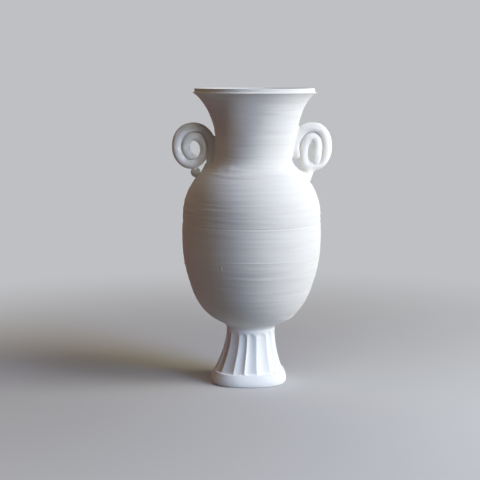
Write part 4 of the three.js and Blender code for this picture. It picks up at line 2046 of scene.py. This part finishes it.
    def build_coil(self, shop: Workshop, roll: Roll) -> None:
        """Makes the coil from its line.

        Args:
            shop: What it is made with.
            roll: Its line and girth.
        """
        edges = [(at, at + 1) for at in range(len(roll.line) - 1)]
        coil = new_piece(f"{self.name}_spiral", roll.line, [], edges)
        carry(coil, "girth", roll.girth * MM)
        shop.coil.apply(coil, shop.finishes[COILED], Seed=self.seed)
        shop.keep(coil, COILED, f"{self.name}_coil")

    def build_pellet(self, shop: Workshop, centre: np.ndarray) -> None:
        """Makes the pellet: a ball rolled between two palms, so not quite round.

        Args:
            shop: What it is made with.
            centre: The pellet's centre.
        """
        columns, rings = self.pellet_columns, self.pellet_rings
        turn, tilt = np.meshgrid(even_turns(columns), (np.arange(rings) + 0.5) / rings * math.pi)
        way = np.column_stack([
            (np.sin(tilt) * np.cos(turn)).ravel(),
            (np.sin(tilt) * np.sin(turn)).ravel(),
            -np.cos(tilt).ravel(),
        ])
        way = np.vstack([way, [[0, 0, -1], [0, 0, 1]]])
        wide, tall = self.pellet_lumps
        x, y, z = way.T
        lump = wide * np.sin(4.2 * x + self.seed) + tall * np.sin(3.3 * z + 2 * y)
        points = centre + way * (self.pellet_radius + lump)[:, None]
        pellet = new_piece(f"{self.name}_ball", points, ring_faces(rings, columns, is_capped=True))
        self.keep_smooth(shop, pellet, self.pellet_sharp, f"{self.name}_pellet")

    @staticmethod
    def keep_smooth(shop: Workshop, piece: bpy.types.Object, sharp: float, *nodes: str) -> None:
        """Gives a piece the finish of the coils, shades it smooth and keeps it.

        Args:
            shop: What it is made with.
            piece: The piece.
            sharp: The angle in degrees past which an edge stays sharp.
            nodes: The CAD nodes that it stands for.
        """
        piece.data.materials.append(shop.finishes[COILED])
        smooth(piece, sharp)
        shop.keep(piece, COILED, *nodes)

    def build_wiped_clay(self, shop: Workshop, roll: Roll, centre: np.ndarray, vase: np.ndarray) -> None:
        """Makes the soft clay that is wiped into the corners between the coil, the pellet and the vase.

        Args:
            shop: What it is made with.
            roll: The handle's coil.
            centre: The pellet's centre.
            vase: The outside of the shoulder and neck.
        """
        left, right = sorted(self.side.value * reach for reach in self.wipe_reach)
        low = np.array([left, -self.wipe_front, NECK_LEVEL - self.wipe_below])
        high = np.array([right, self.wipe_back, NECK_LEVEL + self.wipe_above])
        axes = [np.arange(start, end, self.wipe_cell) for start, end in zip(low, high)]
        grid = np.stack(np.meshgrid(*axes, indexing="ij"), axis=-1)
        places = grid.reshape(-1, 3)
        on_coil = roll.distance(places)
        on_pellet = np.linalg.norm(places - centre, axis=1) - self.pellet_radius
        slope = np.gradient(vase[:, 0], vase[:, 1])
        level = places[:, 2]
        radius = np.hypot(places[:, 0] - lean_at(level), places[:, 1])
        steep = 1 / np.sqrt(1 + np.interp(level, vase[:, 1], slope) ** 2)
        on_vase = (radius - np.interp(level, vase[:, 1], vase[:, 0])) * steep
        solid = np.full(len(places), np.inf)
        for first, second, width in (
            (on_coil, on_vase, self.wipe_on_neck),
            (on_pellet, on_vase, self.wipe_on_pellet),
            (on_pellet, on_coil, self.wipe_on_pellet),
        ):
            fillet = blended(first, second, width) + self.wipe_sunk
            fillet = np.maximum(fillet, np.abs(first - second) - width)
            fillet = np.maximum(fillet, -np.minimum(first, second) - self.wipe_depth)
            solid = np.minimum(solid, fillet)
        points, faces = skin_of(solid.reshape(grid.shape[:3]), low, self.wipe_cell)
        clay = new_piece(f"{self.name}_wiped_clay", points, faces)
        self.keep_smooth(shop, clay, self.wipe_sharp)


LEFT_HANDLE = SpiralHandle(
    side=Side.LEFT,
    level=20.0,
    across=30.2,
    up=34.8,
    close=(12.9, 13.6),
    drift=0.7,
    turns=1.58,
    corners=(2.1, 2.1),
    girth=((0, 1.05), (0.14, 1.04), (0.5, 1.04), (0.75, 0.86), (1, 0.95), (1.25, 1), (1.6, 0.95)),
    tail=((8.6, 10, -9), (7.6, 6, 3)),
    tip=((3.2, -11.4), (-1.4, -13.2), (-4.6, -13.4)),
    pellet_into_shoulder=0.6,
    pellet_into_coil=0.35,
    wipe_on_neck=5.0,
    wipe_on_pellet=2.2,
    seed=1.0,
    into_neck=2.55,
    tail_radius=3.1,
)
RIGHT_HANDLE = SpiralHandle(
    side=Side.RIGHT,
    level=18.2,
    across=26.8,
    up=36.7,
    close=(12.9, 14.3),
    drift=1.4,
    turns=1.54,
    corners=(2.4, 2.1, 2.0, 3.1),
    girth=((0, 0.8), (0.14, 1.05), (0.5, 1.05), (0.75, 0.95), (1, 0.98), (1.25, 1.02), (1.6, 1.1)),
    tail=((6.6, 1, 9.5), (6.2, 0.5, 15)),
    tip=((5.4, -12.0), (4.0, -19.5)),
    pellet_into_shoulder=2.8,
    pellet_into_coil=0.53,
    wipe_on_neck=7.0,
    wipe_on_pellet=11.0,
    seed=9.0,
    tail_radius=5.4,
    tip_radius=6.6,
)


@dataclass(frozen=True)
class Lamp:
    """A soft square lamp, set round the vase, that shines at a place on it.

    It stands so many degrees round from the front and above the level of that place.
    """

    name: str
    around: float
    above: float
    size: float
    power: float
    color: tuple[float, float, float]
    target: tuple[float, float, float] = (0.0, 0.0, 0.22)
    spread: float = 180.0
    away: float = 2.0

    def build(self) -> None:
        """Makes the lamp."""
        data = bpy.data.lights.new(self.name, "AREA")
        data.shape = "SQUARE"
        data.size = self.size
        data.spread = math.radians(self.spread)
        data.energy = self.power
        data.color = self.color
        lamp = bpy.data.objects.new(self.name, data)
        bpy.context.scene.collection.objects.link(lamp)
        turn, tilt = math.radians(self.around), math.radians(self.above)
        way = np.array([math.sin(turn) * math.cos(tilt), -math.cos(turn) * math.cos(tilt), math.sin(tilt)])
        lamp.location = np.array(self.target) + way * self.away
        lamp.rotation_mode = "QUATERNION"
        lamp.rotation_quaternion = Vector(way).to_track_quat("Z", "Y")


@dataclass
class Studio:
    """The camera, the lamps and the pale floor."""

    lens: float = 88.5
    camera_place: tuple[float, float, float] = (-0.0176, -1.7894, 0.4695)
    pitch_down: float = 7.96
    floor_radius: float = 5.0
    floor_columns: int = 96
    floor_fade: tuple[float, float] = (0.25, 1.1)
    backdrop: str = "#bfc0c3"
    floor: str = "#cac9c8"
    floor_shade: str = "#8b8988"
    shade: tuple[float, float, float] = (0.03, 0.022, 0.018)
    lamps: tuple[Lamp, ...] = (
        Lamp("window", 75.0, 19.0, 0.9, 27.0, (1.0, 0.94, 0.65)),
        Lamp("high window", 68.0, 40.0, 0.9, 18.0, (0.6, 0.68, 1.0)),
        Lamp("sky", 51.0, 18.0, 0.6, 19.8, (0.49, 0.65, 1.0)),
        Lamp("room", 0.0, 60.0, 0.9, 3.8, (0.96, 1.0, 0.7)),
        Lamp("warm side", -93.0, 15.0, 0.9, 2.6, (1.0, 0.24, 0.08)),
        Lamp("behind", 200.0, 35.0, 1.2, 4.0, (1.0, 0.97, 0.93)),
        Lamp("under the body", 22.0, 6.0, 0.1, 0.0118, (0.62, 0.77, 1.0), (-0.008, 0.0, 0.034), 13.5, 0.5),
        Lamp("past the neck", 42.0, 22.0, 0.06, 0.0052, (0.95, 0.95, 1.0), (-0.12, 0.0, 0.35), 12.5, 0.4),
        Lamp("beside the neck", 20.0, 28.0, 0.06, 0.006, (1.0, 1.0, 1.0), (0.115, 0.0, 0.356), 12.5, 0.4),
    )

    def build(self) -> None:
        """Makes the studio."""
        scene = bpy.context.scene
        scene.view_settings.view_transform = "Standard"
        camera = bpy.data.objects.new("camera", bpy.data.cameras.new("camera"))
        camera.data.lens = self.lens
        camera.location = self.camera_place
        camera.rotation_euler = (math.radians(90 - self.pitch_down), 0.0, 0.0)
        scene.collection.objects.link(camera)
        scene.camera = camera
        for lamp in self.lamps:
            lamp.build()
        self.build_floor()
        self.build_world()

    @staticmethod
    def is_seen(bench: Bench) -> Signal:
        """Tells where the background is seen from where it lights.

        Args:
            bench: The bench of its material or world.

        Returns:
            1 where it is seen, straight, in a gloss or through glass, and 0 where it lights.
        """
        path = bench.node("ShaderNodeLightPath")
        rays = ("Is Camera Ray", "Is Glossy Ray", "Is Transmission Ray")
        seen = [bench.out(path, ray) for ray in rays]
        return bench.math("MAXIMUM", seen[0], bench.math("MAXIMUM", seen[1], seen[2]))

    def build_floor(self) -> None:
        """Makes the floor: a plain disc that turns into the backdrop's colour away from the vase."""
        columns = self.floor_columns
        turns = even_turns(columns)
        rim = np.column_stack([np.sin(turns), -np.cos(turns), np.zeros(columns)]) * self.floor_radius / MM
        points = np.vstack([rim, [[0.0, 0.0, 0.0]]])
        floor = new_piece("floor", points, [[at, (at + 1) % columns, columns] for at in range(columns)])
        material = bpy.data.materials.new("pale floor")
        material.use_nodes = True
        bench = Bench(material.node_tree)
        surface = material.node_tree.nodes["Principled BSDF"]
        bench.feed_all(surface, {
            "Base Color": bench.mixed(self.is_seen(bench), linear(self.floor_shade), linear(self.floor)),
            "Roughness": 0.9,
            "Specular IOR Level": 0.1,
        })
        place = bench.object_place()
        away = bench.out(bench.node("ShaderNodeVectorMath", {0: place}, operation="LENGTH"), "Value")
        share = bench.eased(away, *self.floor_fade) * self.is_seen(bench)
        plain = bench.node("ShaderNodeEmission", {"Color": linear(self.backdrop), "Strength": 1.0})
        mixed = bench.node("ShaderNodeMixShader", {0: share, 1: bench.out(surface), 2: bench.out(plain)})
        outlet = material.node_tree.nodes["Material Output"]
        bench.feed(outlet.inputs["Surface"], bench.out(mixed))
        floor.data.materials.append(material)

    def build_world(self) -> None:
        """Makes the world: the backdrop where it is seen, and warm shade where it lights."""
        world = bpy.data.worlds.new("studio")
        world.use_nodes = True
        bpy.context.scene.world = world
        bench = Bench(world.node_tree)
        color = bench.mixed(self.is_seen(bench), (*self.shade, 1.0), linear(self.backdrop))
        bench.feed(world.node_tree.nodes["Background"].inputs["Color"], color)


def main() -> None:
    """Makes the vase and the studio."""
    logging.basicConfig(level=logging.INFO, format="%(name)s: %(message)s")
    shop = Workshop()
    body, neck = Body(), Neck()
    Foot().build(shop)
    neck_line = body.build(shop, neck.line())
    neck.build(shop, neck_line)
    for handle in (LEFT_HANDLE, RIGHT_HANDLE):
        handle.build(shop, body.upper_line(), neck_line)
    Studio().build()


if __name__ == "__main__":
    main()
